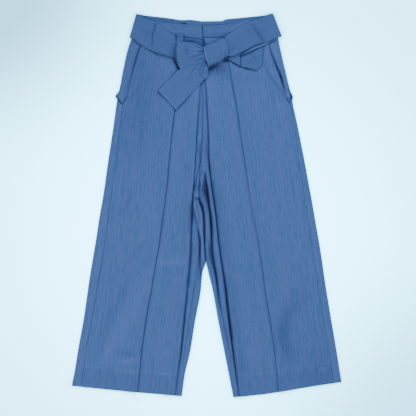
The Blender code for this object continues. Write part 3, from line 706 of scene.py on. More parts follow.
LEFT_ROWS = np.array([
    (417.5, 176.5, 148, 49, -3.5, -7.9, 0, 0, 0.5, 0),
    (387.5, 184.5, 159, 54, -1.5, -6.2, 0, 0, 0.5, 0),
    (357.5, 193, 170, 58, -1.5, -7.2, 0, 0, 0.5, 0),
    (312.5, 203.5, 187.5, 65, -0.5, -7.9, 0.7, 0.5, 0.5, 0),
    (267.5, 214.8, 201, 74, 2.5, -8.7, 2, 1, 0.5, 0),
    (250, 217.7, 210, 77, 3.5, -8.7, 2.8, 1.4, 0.5, 0),
    (200, 228.5, 221, 84, 6.5, -8.7, 3.8, 2.2, 0.5, 0),
    (112.5, 245.8, 231, 97.5, 8.8, -13.4, 5, 4.2, 0.5, 0.5),
    (50, 257.3, 241, 107, 15.5, -17.2, 6, 6.2, 0.53, 0.9),
    (12.5, 264.3, 246, 113.5, 21, -16.7, 7, 7.4, 0.59, 1),
    (-25, 270.7, 252.5, 119.5, 26.5, -5.7, 7.4, 7.8, 0.51, 1),
    (-87.5, 281.8, 262, 130.5, 33, -3.7, 7.4, 7.8, 0.48, 1),
    (-137.5, 289.8, 269.5, 138.5, 40, 0.15, 7.2, 7.4, 0.44, 1),
    (-167.5, 294, 275, 143, 44.5, 6, 7, 6.6, 0.43, 0.9),
    (-212.5, 300.7, 281, 148.5, 50.5, 16.8, 7, 6, 0.37, 0.8),
    (-287.5, 313, 294, 161, 59, 30.5, 6.8, 5.4, 0.41, 0.6),
    (-362.5, 324.5, 305.5, 172.5, 69.5, 46.3, 6, 4.6, 0.5, 0.5),
    (-465, 338.5, 319, 182.5, 84.5, 68.3, 1.4, 0.8, 0.5, 0.3),
])
RIGHT_HEM = [(60, -477.5), (200, -465.6), (335, -452)]
LEFT_HEM = [(68, -480.3), (144, -473), (189, -466), (279, -450.8), (335, -443)]
print("rows of the legs:", len(RIGHT_ROWS), "and", len(LEFT_ROWS))

# %% Shade painted in the pleats
# y, and the painted shade at the middle crease, at the pleat and beside it
RIGHT_FOLD_SHADE = np.array([
    (417, .3, 0, 0), (350, .35, 0, 0), (230, .4, .2, 0), (137, .45, .1, 0), (73, .45, .15, 0),
    (48, .45, .5, 0), (11, .45, .85, .1), (-1, .45, 1, .35), (-26, .45, .85, .35),
    (-51, .45, .5, .25), (-76, .45, .45, 0), (-112, .45, .4, 0), (-238, .4, .3, 0),
    (-312, .45, .45, 0), (-370, .4, .5, 0), (-412, .3, .2, 0), (-465, .15, 0, 0),
])
LEFT_FOLD_SHADE = np.array([
    (417, .1, 0, 0), (350, .1, .05, 0), (230, .2, .25, 0), (137, .15, .25, 0), (73, .1, .5, .1),
    (48, .08, .7, .3), (11, .05, .7, .35), (-26, .05, .5, .25), (-64, .1, .4, .3),
    (-112, .15, .4, .2), (-163, .2, .7, .15), (-238, .25, 1, .1), (-312, .25, 1, .15),
    (-387, .2, .7, .1), (-465, .15, .3, 0),
])
# levels of the painted shade in the pleats
print("levels of dye:", len(RIGHT_FOLD_SHADE), "and", len(LEFT_FOLD_SHADE))

# %% The two legs
# dye is each leg's table of painted shade in its pleats
Leg = namedtuple("Leg", "name side table hem dye laps stray_threads")
STRAY_THREAD = [
    (-182, -466, 2.0), (-180.5, -473, 0.8), (-176, -483, 0.4),
    (-172.5, -492, 0.4), (-171.5, -497, 0.4), (-169.5, -501, 0.4),
]
# The side is +1 toward +x; the back that laps over the other has 1 for its laps
LEGS = [
    Leg("right", -1, RIGHT_ROWS, RIGHT_HEM, RIGHT_FOLD_SHADE, 1.0, [STRAY_THREAD]),
    Leg("left", 1, LEFT_ROWS, LEFT_HEM, LEFT_FOLD_SHADE, 0.0, []),
]


def sections(table, levels):
    """The table's columns at each level, drawn as smooth curves."""
    columns = glide(-levels, -table[:, 0], table)
    return Section(*columns.T)


# Finer steps where the centre seams gather
LEVELS = np.concatenate([
    np.arange(417.5, 120.0, -4.5), np.arange(120.0, -150.0, -2.5), np.arange(-150.0, -462.0, -4.5),
    [-463.0, HEM_Y],
])
print("levels down a leg:", len(LEVELS))

# %% A line of cloth across the leg
FOLD_ANGLES = np.linspace(0.0, math.pi, 9)


class Path:
    """A line of cloth across many levels at once, point by point."""

    def __init__(self, out, z):
        self.points = [np.stack(np.broadcast_arrays(out, z), axis=-1)]

    def to(self, out, z, steps=1):
        """Go on in a straight line, with points between."""
        start = self.points[-1]
        end = np.stack(np.broadcast_arrays(out, z), axis=-1)
        for step in range(1, steps + 1):
            self.points.append(mix(start, end, step / steps))

    def fold(self, at, start, end, facing):
        """Turn round a fold whose edge stands at `at`; facing +1 points outward."""
        middle = (start + end) / 2
        radius = np.abs(end - start) / 2
        for angle in FOLD_ANGLES:
            out = at - facing * radius * (1.0 - math.sin(angle))
            self.to(out, middle + (start - middle) * math.cos(angle))

    def rounded(self, near, far, base, height, steps):
        """Rise over a bunched fold and come down again."""
        for step in range(1, steps):
            share = step / steps
            rise = (1.0 - abs(2.0 * share - 1.0) ** 3.0) ** 0.5
            self.to(mix(near, far, share), base + height * rise)

    def grid(self):
        """All points: a row for each level, a column for each point across."""
        return np.stack(self.points, axis=1)


print("points round a fold:", len(FOLD_ANGLES))

# %% Knife pleat
PLEAT_RAMP = 13.0             # how far before the hidden fold the cloth starts to climb
# Shares of a pleat's depth where its layers start to lie flat: top, second and lowest
TOP_FLAT, SECOND_FLAT, LOWEST_FLAT = 0.45, 0.5, 0.4


def knife_pleat(path, edge, depth, top):
    """Climb, fold under at the edge, run back and go on below."""
    path.to(edge + depth + PLEAT_RAMP, FIRST_LAYER, 12)
    path.to(edge + depth + 2.0, THIRD_LAYER, 4)
    path.to(edge + depth * TOP_FLAT, top, 4)
    path.to(edge + np.maximum(2.0, (top - SECOND_LAYER) / 2 + 0.5), top, 3)
    path.fold(edge, top, SECOND_LAYER, -1)
    path.to(edge + depth * SECOND_FLAT, SECOND_LAYER, 3)
    path.fold(edge + depth, SECOND_LAYER, FIRST_LAYER, 1)
    path.to(edge + depth * LOWEST_FLAT, FIRST_LAYER, 2)


print("shares of a pleat that lie flat:", TOP_FLAT, SECOND_FLAT, LOWEST_FLAT)

# %% Section across a front leg
LEG_PLEAT_DEPTH = 24.0
CENTRE_PLEAT_DEPTH = 20.0
POCKET_UNDERLAP = 25.0
POCKET_SLOPE = 15.0           # over which the front comes down again inside the pocket
POCKET_BOTTOM_Y = 250.0
POCKET_GAPE = 1.1             # the mouth's edge stands this much off the facing
MOUTH_TOP_Y = 372.0           # where the sash holds the mouth's edge down
SASH_HOLDS_Y = 345.0          # the sash presses the pleats flat above this
STRIP_CLEARANCE = 1.8
CREASE_PUFF = 1.0             # a fold that isn't pressed flat stands this much higher


def front_section(row):
    """From the pocket mouth or side seam to the centre."""
    over_facing = ease((row.y - POCKET_BOTTOM_Y) / 17.5)
    gape = ease((row.y - POCKET_BOTTOM_Y) / 50.0) * ease((MOUTH_TOP_Y - row.y) / 20.0)
    edge = mix(FIRST_LAYER, THIRD_LAYER + POCKET_GAPE * gape, over_facing)
    inside = row.seam - POCKET_UNDERLAP - 2.0
    path = Path(row.seam, edge)
    path.to(row.seam - 1.5, edge)
    path.to(inside, edge, 6)
    path.to(inside - POCKET_SLOPE, FIRST_LAYER, 4)
    path.to(row.crease + LEG_PLEAT_DEPTH + 2.0 * PLEAT_RAMP, FIRST_LAYER, 12)
    springs = ease((SASH_HOLDS_Y - row.y) / 60.0)
    knife_pleat(path, row.crease, LEG_PLEAT_DEPTH, THIRD_LAYER + CREASE_PUFF * springs)
    path.to(row.crease + 1.5, FIRST_LAYER, 2)
    path.to(row.crease - 4.5, FIRST_LAYER, 5)
    knife_pleat(path, row.pleat, CENTRE_PLEAT_DEPTH, THIRD_LAYER + row.puff)
    start = row.pleat - STRIP_CLEARANCE
    end = row.inner + STRIP_CLEARANCE
    part_at = mix(end, start, row.groove_at)
    path.to(start, FIRST_LAYER)
    path.rounded(start, part_at, FIRST_LAYER, row.bulge, 13)
    path.to(part_at, FIRST_LAYER + row.bulge * (1.0 - row.groove))
    path.rounded(part_at, end, FIRST_LAYER, row.bulge, 13)
    path.to(end, FIRST_LAYER)
    path.to(row.inner, FIRST_LAYER)
    return path.grid()


print("points across a front leg:", front_section(sections(RIGHT_ROWS, LEVELS)).shape[1])


# %% Place a section on the leg
def hem_line(leg, out):
    """The y of a leg's lower edge."""
    return np.interp(out, *np.array(leg.hem).T)


def above_hem(grid, leg):
    """Height of each point above the line where the hem is stitched."""
    return grid[..., 1] - hem_line(leg, leg.side * grid[..., 0]) - HEM_DEPTH


def leg_places(section, row, leg, seam_of):
    """The section's points in space, bent to the curved waist and the drooping hem."""
    out, z = section[..., 0], section[..., 1]
    x = leg.side * out
    level = row.y[:, None]
    hem_share = np.interp(level, [HEM_Y, -362.5, -287.5], [1.0, 0.35, 0.0])
    y = level + waist_share(level) * seam_of(x) + hem_share * (hem_line(leg, out) - HEM_Y)
    y = y - SEAM_GAP * (level > WAIST_SEAM_Y - 1.0)
    return np.stack([x, y, z + lift(level)], axis=-1)


print("levels of the hems:", [round(float(hem_line(leg, 200.0)), 1) for leg in LEGS])

# %% Creases and swell of a front leg
# Where creases and swells start, and over how far they grow, from each edge of a leg
CALM_SIDE, GROW_SIDE = 4.0, 26.0
CALM_WAIST, GROW_WAIST = 6.0, 45.0
CALM_HEM, GROW_HEM = 3.0, 60.0
SWELL = 0.9
SWELL_SIZE = (55.0, 170.0)
DOUBLED_HEM = 0.5             # how much higher the doubled hem stands
PUCKER_HEIGHT, PUCKER_PITCH, PUCKER_REACH = 0.22, 13.0, 9.0
STITCH_SINK, STITCH_REACH = 0.2, 1.6
DEEPEST = -0.25               # no place sinks farther into the layer below


def billow(grid, row, leg):
    """Add the creases, a slow unevenness and the doubled hem to a front leg."""
    x, y = grid[..., 0], grid[..., 1]
    out = leg.side * x
    from_side = ease((row.seam[:, None] - CALM_SIDE - out) / GROW_SIDE)
    from_waist = ease((TAIL_END_Y - CALM_WAIST - y) / GROW_WAIST)
    from_hem = ease((y - hem_line(leg, out) - CALM_HEM) / GROW_HEM)
    swell = SWELL * (1.0 + drift_height(x, y, *SWELL_SIZE, 3.0))
    loose = from_side * from_waist * (0.25 + 0.75 * from_hem)
    above = above_hem(grid, leg)
    doubled = DOUBLED_HEM * ease(-above / 3.0)
    waves = np.sin(out * 2 * math.pi / PUCKER_PITCH) * bell(above, PUCKER_REACH)
    stitched = STITCH_SINK * bell(above, STITCH_REACH)
    hem_height = from_side * (doubled + PUCKER_HEIGHT * waves - stitched)
    raised = loose * (swell + crease_height(x, y, LEG_CREASES)) + hem_height
    grid[..., 2] += np.maximum(raised, DEEPEST)
    return grid


print("a panel's swell in mm:", SWELL)


# %% Grain and painted shade of a leg
# Where a fold's painted shade lies from its edge, and how wide: middle fold, pleat, beside the
# pleat
FOLD_SHADE = [(-0.9, 1.4), (-1.0, 2.2), (3.0, 5.0)]
HEM_DARKENING = 0.06                # the doubled hem is made a little darker
# Painted highlight along the hem's stitching, where its puckers catch light
HEM_HIGHLIGHT = 0.22
HEM_HIGHLIGHT_PATCHES = (13.0, 400.0)     # patches along the hem where the painted highlight is stronger
HEM_HIGHLIGHT_AT, HEM_HIGHLIGHT_WIDTH = 1.2, 1.6


def leg_grain(grid, fold_column):
    """u is the length across from the middle fold, v the length down the leg."""
    across = distances(grid, axis=1)
    across = across - across[:, fold_column:fold_column + 1]
    down = distances(grid[:, fold_column:fold_column + 1], axis=0)
    return np.stack([across, np.broadcast_to(down, across.shape)], axis=-1)


def leg_painted_shading(grid, row, leg):
    """Painted shade in the pleats and folds, minus painted highlights on ridges and along the
    hem's stitching.
    """
    x, y = grid[..., 0], grid[..., 1]
    levels, *strengths = leg.dye.T
    from_folds = (leg.side * x - fold[:, None] for fold in (row.crease, row.pleat, row.pleat))
    folded = [
        np.interp(-row.y, -levels, strength)[:, None] * bell(away - middle, width)
        for strength, away, (middle, width) in zip(strengths, from_folds, FOLD_SHADE)
    ]
    above = above_hem(grid, leg)
    hem_highlight = HEM_HIGHLIGHT * ease(0.4 + drift_height(x, y, *HEM_HIGHLIGHT_PATCHES, 5.0))
    hem_highlight = hem_highlight * bell(above - HEM_HIGHLIGHT_AT, HEM_HIGHLIGHT_WIDTH)
    painted_shading = join(*folded, HEM_DARKENING * ease(-above / 4.0), line_strength(x, y, LEG_SHADE_LINES))
    return painted_shading - join(hem_highlight, line_strength(x, y, LEG_HIGHLIGHT_LINES))


# where each fold's painted shade lies from its edge
print("dye lies from the folds' edges at:", [middle for middle, _ in FOLD_SHADE])

# %% What shows of a line across a leg
COVER_REACH = 3.0             # how far along x a higher point covers a lower one
COVER_HEIGHT = 0.9


def shown(points):
    """Those points of a line across the cloth that nothing covers, from left to right."""
    close = np.abs(points[:, None, 0] - points[None, :, 0]) < COVER_REACH
    top = np.where(close, points[None, :, 2], -np.inf).max(axis=1)
    seen = points[points[:, 2] > top - COVER_HEIGHT]
    return seen[np.argsort(seen[:, 0])]


def hem_seam(grid, leg):
    """Where the hem's stitching shows on a front leg."""
    above = above_hem(grid, leg)
    row = (above > 0.0).sum(axis=0) - 1
    column = np.arange(grid.shape[1])
    high, low = above[row, column], above[row + 1, column]
    t = (high / (high - low))[:, None]
    return shown(mix(grid[row, column], grid[row + 1, column], t))


print("cloth covers what lies deeper than", COVER_HEIGHT, "mm")

# %% [markdown]
# ## Stitching and frayed yarn
# The hems and the pocket mouths are sewn with a lockstitch: short runs of thread that sink
# at both ends. Below the hem, loose ends of yarn stick out of the cut edge. Both are real
# threads, thin prisms laid along lines that are read off the finished front, so they
# follow every crease. Each leg has one mesh of stitches and one of frayed ends.

# %% Thread and yarn
def spun_thread(name, colour):
    """Spun cotton or polyester thread: matt and soft."""
    thread = new_material(name)
    fibres = add_node(thread, "BsdfPrincipled", {
        "Base Color": linear(colour), "Roughness": 0.8, "IOR": 1.5,
    })
    add_node(thread, "OutputMaterial", {"Surface": fibres})
    return thread


SEWING_THREAD = spun_thread("polyester_thread", "#5A7FB8")
FRAYED_YARN = spun_thread("frayed_cotton_yarn", "#8FA9C9")
print("threads:", SEWING_THREAD.name, "and", FRAYED_YARN.name)

# %% Threads as thin prisms
THREAD_WIDTH = 0.45           # sewing thread is 0.3 mm thick; drawn wider so that it shows
THREAD_TOP = (0.0, 0.0, 0.8 * THREAD_WIDTH)


def threads(name, strands, finish):
    """One mesh of thin three-sided threads, each through its own points in mm."""
    places, faces = [], []
    for strand in strands:
        line = np.array(strand, float)
        ahead = np.gradient(line, axis=0)[:, :2]
        ahead /= np.maximum(np.linalg.norm(ahead, axis=1), 1e-6)[:, None]
        across = np.stack([-ahead[:, 1], ahead[:, 0], np.zeros(len(line))], axis=1)
        across *= THREAD_WIDTH / 2
        across[[0, -1]] *= 0.5
        ring = np.stack([line - across, line + across, line + THREAD_TOP], axis=1)
        start = len(places)
        places += (ring.reshape(-1, 3) * MM).tolist()
        last = start + 3 * (len(line) - 1)
        for a in range(start, last, 3):
            b = a + 3
            faces += [(a + j, a + (j + 1) % 3, b + (j + 1) % 3, b + j) for j in range(3)]
        faces += [(start + 2, start + 1, start), (last, last + 1, last + 2)]
    mesh = bpy.data.meshes.new(name)
    mesh.from_pydata(places, [], faces)
    return place(name, mesh, finish)


print("width of a thread in mm:", THREAD_WIDTH)

# %% Stitches
STITCH = 2.4
STITCH_PITCH = 3.4
STITCH_HEIGHTS = np.array([0.18, 0.3, 0.18])    # over the cloth: start, middle and end


def stitches(line):
    """Short strands along a line that lies on the cloth."""
    line = np.array(line, float)
    passed = np.concatenate([[0.0], np.cumsum(np.linalg.norm(np.diff(line, axis=0), axis=1))])
    strands = []
    for start in np.arange(2.0, passed[-1] - STITCH, STITCH_PITCH):
        at = start + np.array([0.0, 0.5, 1.0]) * STITCH
        strand = np.stack([np.interp(at, passed, line[:, i]) for i in range(3)], axis=1)
        strand[:, 2] += STITCH_HEIGHTS
        strands.append(strand)
    return strands


print("stitches in 100 mm:", int(100 / STITCH_PITCH))

# %% Frayed edge
FRAY_SEED = 7
FRAY_GAP = 2.2                # mean distance between loose yarn ends along the hem
YARN_LENGTHS = (0.8, 3.2)
LONGER_BY, LONGER_CHANCE = 3.0, 0.08
YARN_LEAN = 0.8
HEM_TUCK = 0.6                # a yarn end starts this far inside the hem


def frayed_edge(edge):
    """Loose yarn ends that stand out below a cut edge."""
    chance = random.Random(FRAY_SEED)
    strands = []
    at = edge[0, 0] + 1.0
    while at < edge[-1, 0] - 1.0:
        y, z = (float(np.interp(at, edge[:, 0], edge[:, i])) for i in (1, 2))
        length = chance.uniform(*YARN_LENGTHS)
        length += LONGER_BY if chance.random() < LONGER_CHANCE else 0.0
        lean = chance.uniform(-YARN_LEAN, YARN_LEAN)
        drop = max(0.4, z * 0.5)
        strands.append([
            (at, y + HEM_TUCK, z),
            (at + lean * 0.4, y - length * 0.45, (z + drop) / 2 + 0.2),
            (at + lean * length * 0.5, y - length, drop),
        ])
        at += chance.uniform(0.4, 1.6) * FRAY_GAP
    return strands


print("longest yarn end in mm:", YARN_LENGTHS[1] + LONGER_BY)

# %% Fronts of the legs
CREASE_COLUMN = 51            # the point of the section that lies on the middle fold's edge
POCKET_STITCH_COLUMN = 2      # the point of the section 6 mm inside the pocket mouth
POCKET_STITCHES = (POCKET_BOTTOM_Y + 4.0, 385.0)


def make_front(leg):
    """A front with its pleats and creases, its stitching and its frayed hem."""
    name = leg.name + "_front_leg"
    row = sections(leg.table, LEVELS)
    grid = leg_places(soften(front_section(row), 2), row, leg, front_waist_curve)
    grain = leg_grain(grid, CREASE_COLUMN)
    grid = billow(grid, row, leg)
    piece = cloth(name, grid, grain, WALL, "leg_cotton", leg_painted_shading(grid, row, leg))
    lowest, highest = POCKET_STITCHES
    mouth = grid[(row.y > lowest) & (row.y < highest), POCKET_STITCH_COLUMN]
    sewn = stitches(hem_seam(grid, leg)) + stitches(mouth)
    seams = threads(name + "_stitches", sewn, SEWING_THREAD)
    frayed = frayed_edge(shown(grid[-1])) + leg.stray_threads
    fray = threads(name + "_fray", frayed, FRAYED_YARN)
    declare(
        name,
    )


for leg in LEGS:
    make_front(leg)


# %% Backs of the legs
BACK_MIDDLE_COLUMN = 47       # the point of the back that its grain is measured from
LAP = -1.6                    # how far the back that laps goes past the centre
LAP_HEIGHT = 0.62


def back_section(row, laps):
    """From the centre to the edge that rolls up over the side.

    Above the crotch one back laps over the other, so the seam is closed.
    """
    joined = laps * ease((row.y - CROTCH_Y - 12.0) / 10.0)
    wrapped = ease((265.0 - row.y) / 15.0)
    path = Path(row.inner + LAP * joined, FLOOR_LAYER + LAP_HEIGHT * joined)
    path.to(row.inner + 0.8, FLOOR_LAYER + LAP_HEIGHT * joined)
    path.to(row.inner + 2.6, FLOOR_LAYER)
    path.to(row.side - 6.0, FLOOR_LAYER, 42)
    path.to(row.side - 1.5, FLOOR_LAYER, 3)
    path.fold(row.side, FLOOR_LAYER, FIRST_LAYER, 1)
    path.to(mix(row.side - 3.0, row.seam + SEAM_GAP, wrapped), FIRST_LAYER, 6)
    return path.grid()


def make_back(leg):
    """A plain back, flat on the board."""
    name = leg.name + "_back_leg"
    row = sections(leg.table, LEVELS)
    grid = leg_places(soften(back_section(row, leg.laps), 1), row, leg, waist_curve)
    piece = cloth(name, grid, leg_grain(grid, BACK_MIDDLE_COLUMN), WALL, "leg_cotton")
    declare(name)


for leg in LEGS:
    make_back(leg)

# %% [markdown]
# ## Pocket facings
# The pocket mouths slant from the waist to the side seams. What shows inside each one is
# a facing of the same cloth, sewn to the back of the pocket. Its lower end is rounded and
# peeps out past the end of the mouth. It could be part of the back's mesh. As a strip of
# its own it has an edge of its own, and the pocket mouth casts a real shadow on it.

# %% Facings
# y, outer edge, inner edge
RIGHT_FACING = np.array([
    (417.5, 176, 132), (387.5, 193.2, 142), (357.5, 202.5, 152.5), (312.5, 211.5, 163),
    (288, 214.5, 172), (279, 222, 180), (272, 226.5, 188), (268, 224.5, 201.5),
    (261, 218.5, 204.5), (254, 212.5, 209),
])
LEFT_FACING = np.array([
    (417.5, 175, 123), (387.5, 184, 134), (357.5, 192.5, 145), (312.5, 203.8, 162.5),
    (288, 209, 173), (279, 213.5, 180), (272, 217, 188), (268, 217.5, 202.5),
    (261, 215.5, 206), (256, 213.5, 209.5),
])
FACING_ROWS, FACING_COLUMNS = 80, 17


def make_facing(leg, table):
    """A strip of cloth inside the pocket mouth, on the back of the leg."""
    levels = np.linspace(table[0, 0], table[-1, 0], FACING_ROWS)
    _, outer, inner = glide(-levels, -table[:, 0], table).T
    share = np.linspace(0.0, 1.0, FACING_COLUMNS)
    x = leg.side * mix(outer[:, None], inner[:, None], share)
    level = np.broadcast_to(levels[:, None], x.shape)
    y = level - SEAM_GAP + waist_share(level) * waist_curve(x)
    grid = np.stack([x, y, SECOND_LAYER + lift(level)], axis=-1)
    across = distances(grid, axis=1)
    grain = np.stack([across, -level], axis=-1)
    name = leg.name + "_pocket_facing"
    # painted shade from the legs' lines, where the pocket mouth shades the facing
    piece = cloth(name, grid, grain, WALL, "leg_cotton", line_strength(x, y, LEG_SHADE_LINES))
    declare(name)


for leg, facing_rows in zip(LEGS, [RIGHT_FACING, LEFT_FACING]):
    make_facing(leg, facing_rows)

# %% [markdown]
# ## Waistband and belt loops
# The waistband is a doubled strip, cut along the cloth, so its stripes run level. The
# front half is split at the centre. The inside of the back half shows above it, because
# the front sits lower. Two belt loops reach down from the waist seam over the sash.
# A flat strip could be bent to the waist. Here each band is drawn between its two edges,
# and its lower edge is the curve that the legs end on, so the two meet all along.

# %% Waistband
DOUBLED_WALL = 1.2
BAND_HEIGHT = 31.5
BACK_BAND_TOP_Y = 459.0
BACK_CURVE = 0.55
BAND_EDGE_DIP = 0.35
BAND_ROWS, BAND_COLUMNS = 130, 15
BACK_BAND_Z = 2.7
FRONT_BAND_Z = 4.6


def front_band_top(x):
    """Upper edge of the front waistband."""
    return WAIST_SEAM_Y + BAND_HEIGHT + waist_curve(x)


def back_band_top(x):
    """Upper edge of the back waistband, which curves less."""
    return BACK_BAND_TOP_Y + BACK_CURVE * waist_curve(x)


def soft_edges(share, depth):
    """How far a pressed, doubled strip dips at its two long edges."""
    return -depth * np.abs(2.0 * share - 1.0) ** 8


# Painted shade on the bands: along the sash's upper edges, at a notch, down the centre slit and
# along the waist seam
BAND_SHADE_LINES = [
    (1.4, [(-145, 466.5, .2), (-110, 461, .45), (-77.5, 456.5, .45), (-51, 453.5, .5)]),
    (1.8, [(-61, 455, .8), (-50, 453.5, .9)]),
    (1.4, [(-5, 449, .4), (30, 450, .35), (50, 453.5, .4), (67.5, 458.5, .35), (110, 462.5, .2)]),
    (1.3, [(-10, 451, .55), (-8.8, 437, .45), (-7, 417, .6)]),
    (1.5, [(-78, 421, .4), (-40, 418, .35), (-25, 415.5, .4), (-10, 413, .45)]),
    (1.5, [(-6, 417.5, .4), (45, 419, .4)]),
    (1.8, [(-98, 438, .05), (-90, 433, .3), (-77.5, 425, .5)]),
]

# Painted highlights along the sash's upper edges, which lighten its shadow on the bands
BAND_HIGHLIGHT_LINES = [
    (2.6, [(-126, 459, .1), (-108, 447.5, .3), (-93, 437.5, .35), (-80, 427.5, .3)]),
    (3.0, [(50, 427, .3), (69.5, 440.8, .4), (87.5, 451, .4), (104, 458.5, .35)]),
]


def make_band(name, stations, middle_z, seam_of, top_of, creases=()):
    """Stations are the x of the band's lower and upper edge, along the waist."""
    start = np.arange(len(stations), dtype=float)
    low_x, top_x = glide(np.linspace(0.0, start[-1], BAND_ROWS), start, np.array(stations)).T
    share = np.linspace(0.0, 1.0, BAND_COLUMNS)
    x = mix(low_x[:, None], top_x[:, None], share)
    y = mix((WAIST_SEAM_Y + seam_of(low_x))[:, None], top_of(top_x)[:, None], share)
    z = middle_z + soft_edges(share, BAND_EDGE_DIP) + crease_height(x, y, creases)
    grid = np.stack([x, y, z], axis=-1)
    across, along = distances(grid, axis=1), distances(grid, axis=0)
    # painted shade, minus painted highlights
    painted_shading = line_strength(x, y, BAND_SHADE_LINES) - line_strength(x, y, BAND_HIGHLIGHT_LINES)
    grain = np.stack([across, along], axis=-1)
    piece = cloth(name, grid, grain, DOUBLED_WALL, "band_cotton", painted_shading)
    declare(
        name,
    )


FRONT_BAND_CREASES = [
    Crease(0.5, 5.0, [(-60, 449), (-52, 438), (-50, 425)]),
    Crease(0.4, 9.0, [(20, 447), (34, 436), (38, 424)]),
    Crease(-0.5, 3.0, [(-67, 452), (-50, 446)]),
]
make_band(
    "back_waistband",
    [(-177.0, -169.0), (-125.0, -120.0), (-60.0, -58.0), (-8.0, -8.0),
     (60.0, 58.0), (120.0, 115.0), (173.0, 163.0)],
    BACK_BAND_Z, waist_curve, back_band_top,
)
FRONT_STATIONS = {
    "right_front_waistband": [(-177.0, -168.0), (-125.0, -120.0), (-60.0, -59.0), (-8.4, -10.4)],
    "left_front_waistband": [(-7.4, -9.2), (60.0, 58.0), (120.0, 115.0), (173.0, 162.0)],
}
for band, band_stations in FRONT_STATIONS.items():
    make_band(
        band, band_stations, FRONT_BAND_Z, front_waist_curve, front_band_top, FRONT_BAND_CREASES,
    )

# %% [markdown]
# ## Sash
# The sash is a long doubled strip. It crosses behind the waist, turns over at each side,
# comes down to the knot, makes one loop and two tails, and wraps over itself. Each
# stretch that shows is one strip, lofted through rows: the upper edge, the middle and
# the lower edge of the strip at one place along it. A bevelled curve would be quicker,
# but rows let each edge go its own way, as cloth does where it turns. Gathers are folds
# that are high at the knot and die away from it.

# %% Strips
Row = namedtuple("Row", "upper middle lower")

SASH_FLOOR = 0.8
SASH_TOP = 7.9
TURN_RADIUS = (SASH_TOP - SASH_FLOOR) / 2


def straight(upper, lower):
    """A row whose middle lies halfway between its edges."""
    return Row(upper, tuple((a + b) / 2 for a, b in zip(upper, lower)), lower)


def level_rows(z, *edges):
    """Straight rows at one height, from the x and y of the upper and of the lower edge."""
    return [straight((ax, ay, z), (bx, by, z)) for ax, ay, bx, by in edges]


def side_turn(upper, lower, outward):
    """Rows that carry the sash round the waist's side, from the board to the front."""
    rows = []
    for angle in FOLD_ANGLES:
        reach = outward * TURN_RADIUS * (math.sin(angle) - 1.0)
        z = SASH_FLOOR + TURN_RADIUS * (1.0 - math.cos(angle))
        rows += level_rows(z, (upper[0] + reach, upper[1], lower[0] + reach, lower[1]))
    return rows


def strip_grid(rows, step, across):
    """Points of a strip, a step apart along it; also how far along, from 0 to 1."""
    table = np.array(rows, float)
    spans = np.linalg.norm(np.diff(table[:, 1], axis=0), axis=1)
    start = np.concatenate([[0.0], np.cumsum(spans)])
    at = np.linspace(0.0, start[-1], max(6, int(start[-1] / step)))
    lines = glide(at, start, table.reshape(len(rows), 9)).reshape(-1, 3, 3)
    share = np.linspace(0.0, 1.0, across + 1)[None, :, None]
    upper = 2.0 * (share - 0.5) * (share - 1.0)
    middle = 4.0 * share * (1.0 - share)
    lower = 2.0 * share * (share - 0.5)
    grid = upper * lines[:, None, 0] + middle * lines[:, None, 1] + lower * lines[:, None, 2]
    return grid, at / start[-1], share[..., 0]


def make_strip(
    name, rows, slot="sash_cotton", wall=DOUBLED_WALL,
    step=2.2, across=22, gathers=None, creases=(), edge=0.3, lines=(), painted_highlights=(),
    painted_lightness=0.0,
):
    """A strip; gathers(along, share) gives the height of the folds at each place."""
    grid, along, share = strip_grid(rows, step, across)
    widths = distances(grid, axis=1)
    lengths = distances(grid, axis=0)
    grain = np.stack([widths, lengths], axis=-1)
    grid[..., 2] += soft_edges(share, edge) + crease_height(grid[..., 0], grid[..., 1], creases)
    if gathers:
        grid[..., 2] += gathers(along[:, None], share)
    x, y = grid[..., 0], grid[..., 1]
    # Lines of painted shade, lines of painted highlight, and a painted lightness over the whole
    # strip, paler above zero and darker below
    painted_shading = line_strength(x, y, lines) - line_strength(x, y, painted_highlights) - painted_lightness
    piece = cloth(name, grid, grain, wall, slot, painted_shading)
    declare(name)


def folds(share, ridges, width):
    """Rounded ridges along a strip; each has its share of the strip's width and a height."""
    total = np.zeros_like(share)
    for at, height in ridges:
        total = total + height * bell(share - at, width)
    return total


# %% Sash behind the waist
sash_back_rows = level_rows(
    SASH_FLOOR,
    (-155, 474, -168, 412), (-90, 466.6, -92, 404), (-60, 462.4, -60, 400),
    (-38, 462.8, -38, 398), (-15, 459.8, -15, 395.5), (6, 457.5, 6, 394),
    (35, 458.5, 37, 397.5), (51, 464.4, 54, 400), (75, 466.8, 80, 404.5),
    (148, 474, 166, 413),
)
make_strip("sash_back", sash_back_rows, step=4.0, across=14, edge=0.1)

# %% Right stretch of the sash
# One folded line across, with a soft ridge beside it
SASH_RIGHT_CREASES = [
    Crease(-1.1, 2.6, [(-126, 458), (-129, 440), (-134, 426), (-135, 408), (-136, 392)]),
    Crease(1.3, 5.0, [(-138, 452), (-143, 428), (-147, 402)]),
    Crease(0.8, 4.5, [(-122, 446), (-124, 420), (-127, 396)]),
    Crease(0.7, 6.0, [(-100, 425), (-80, 398), (-66, 378)]),
]
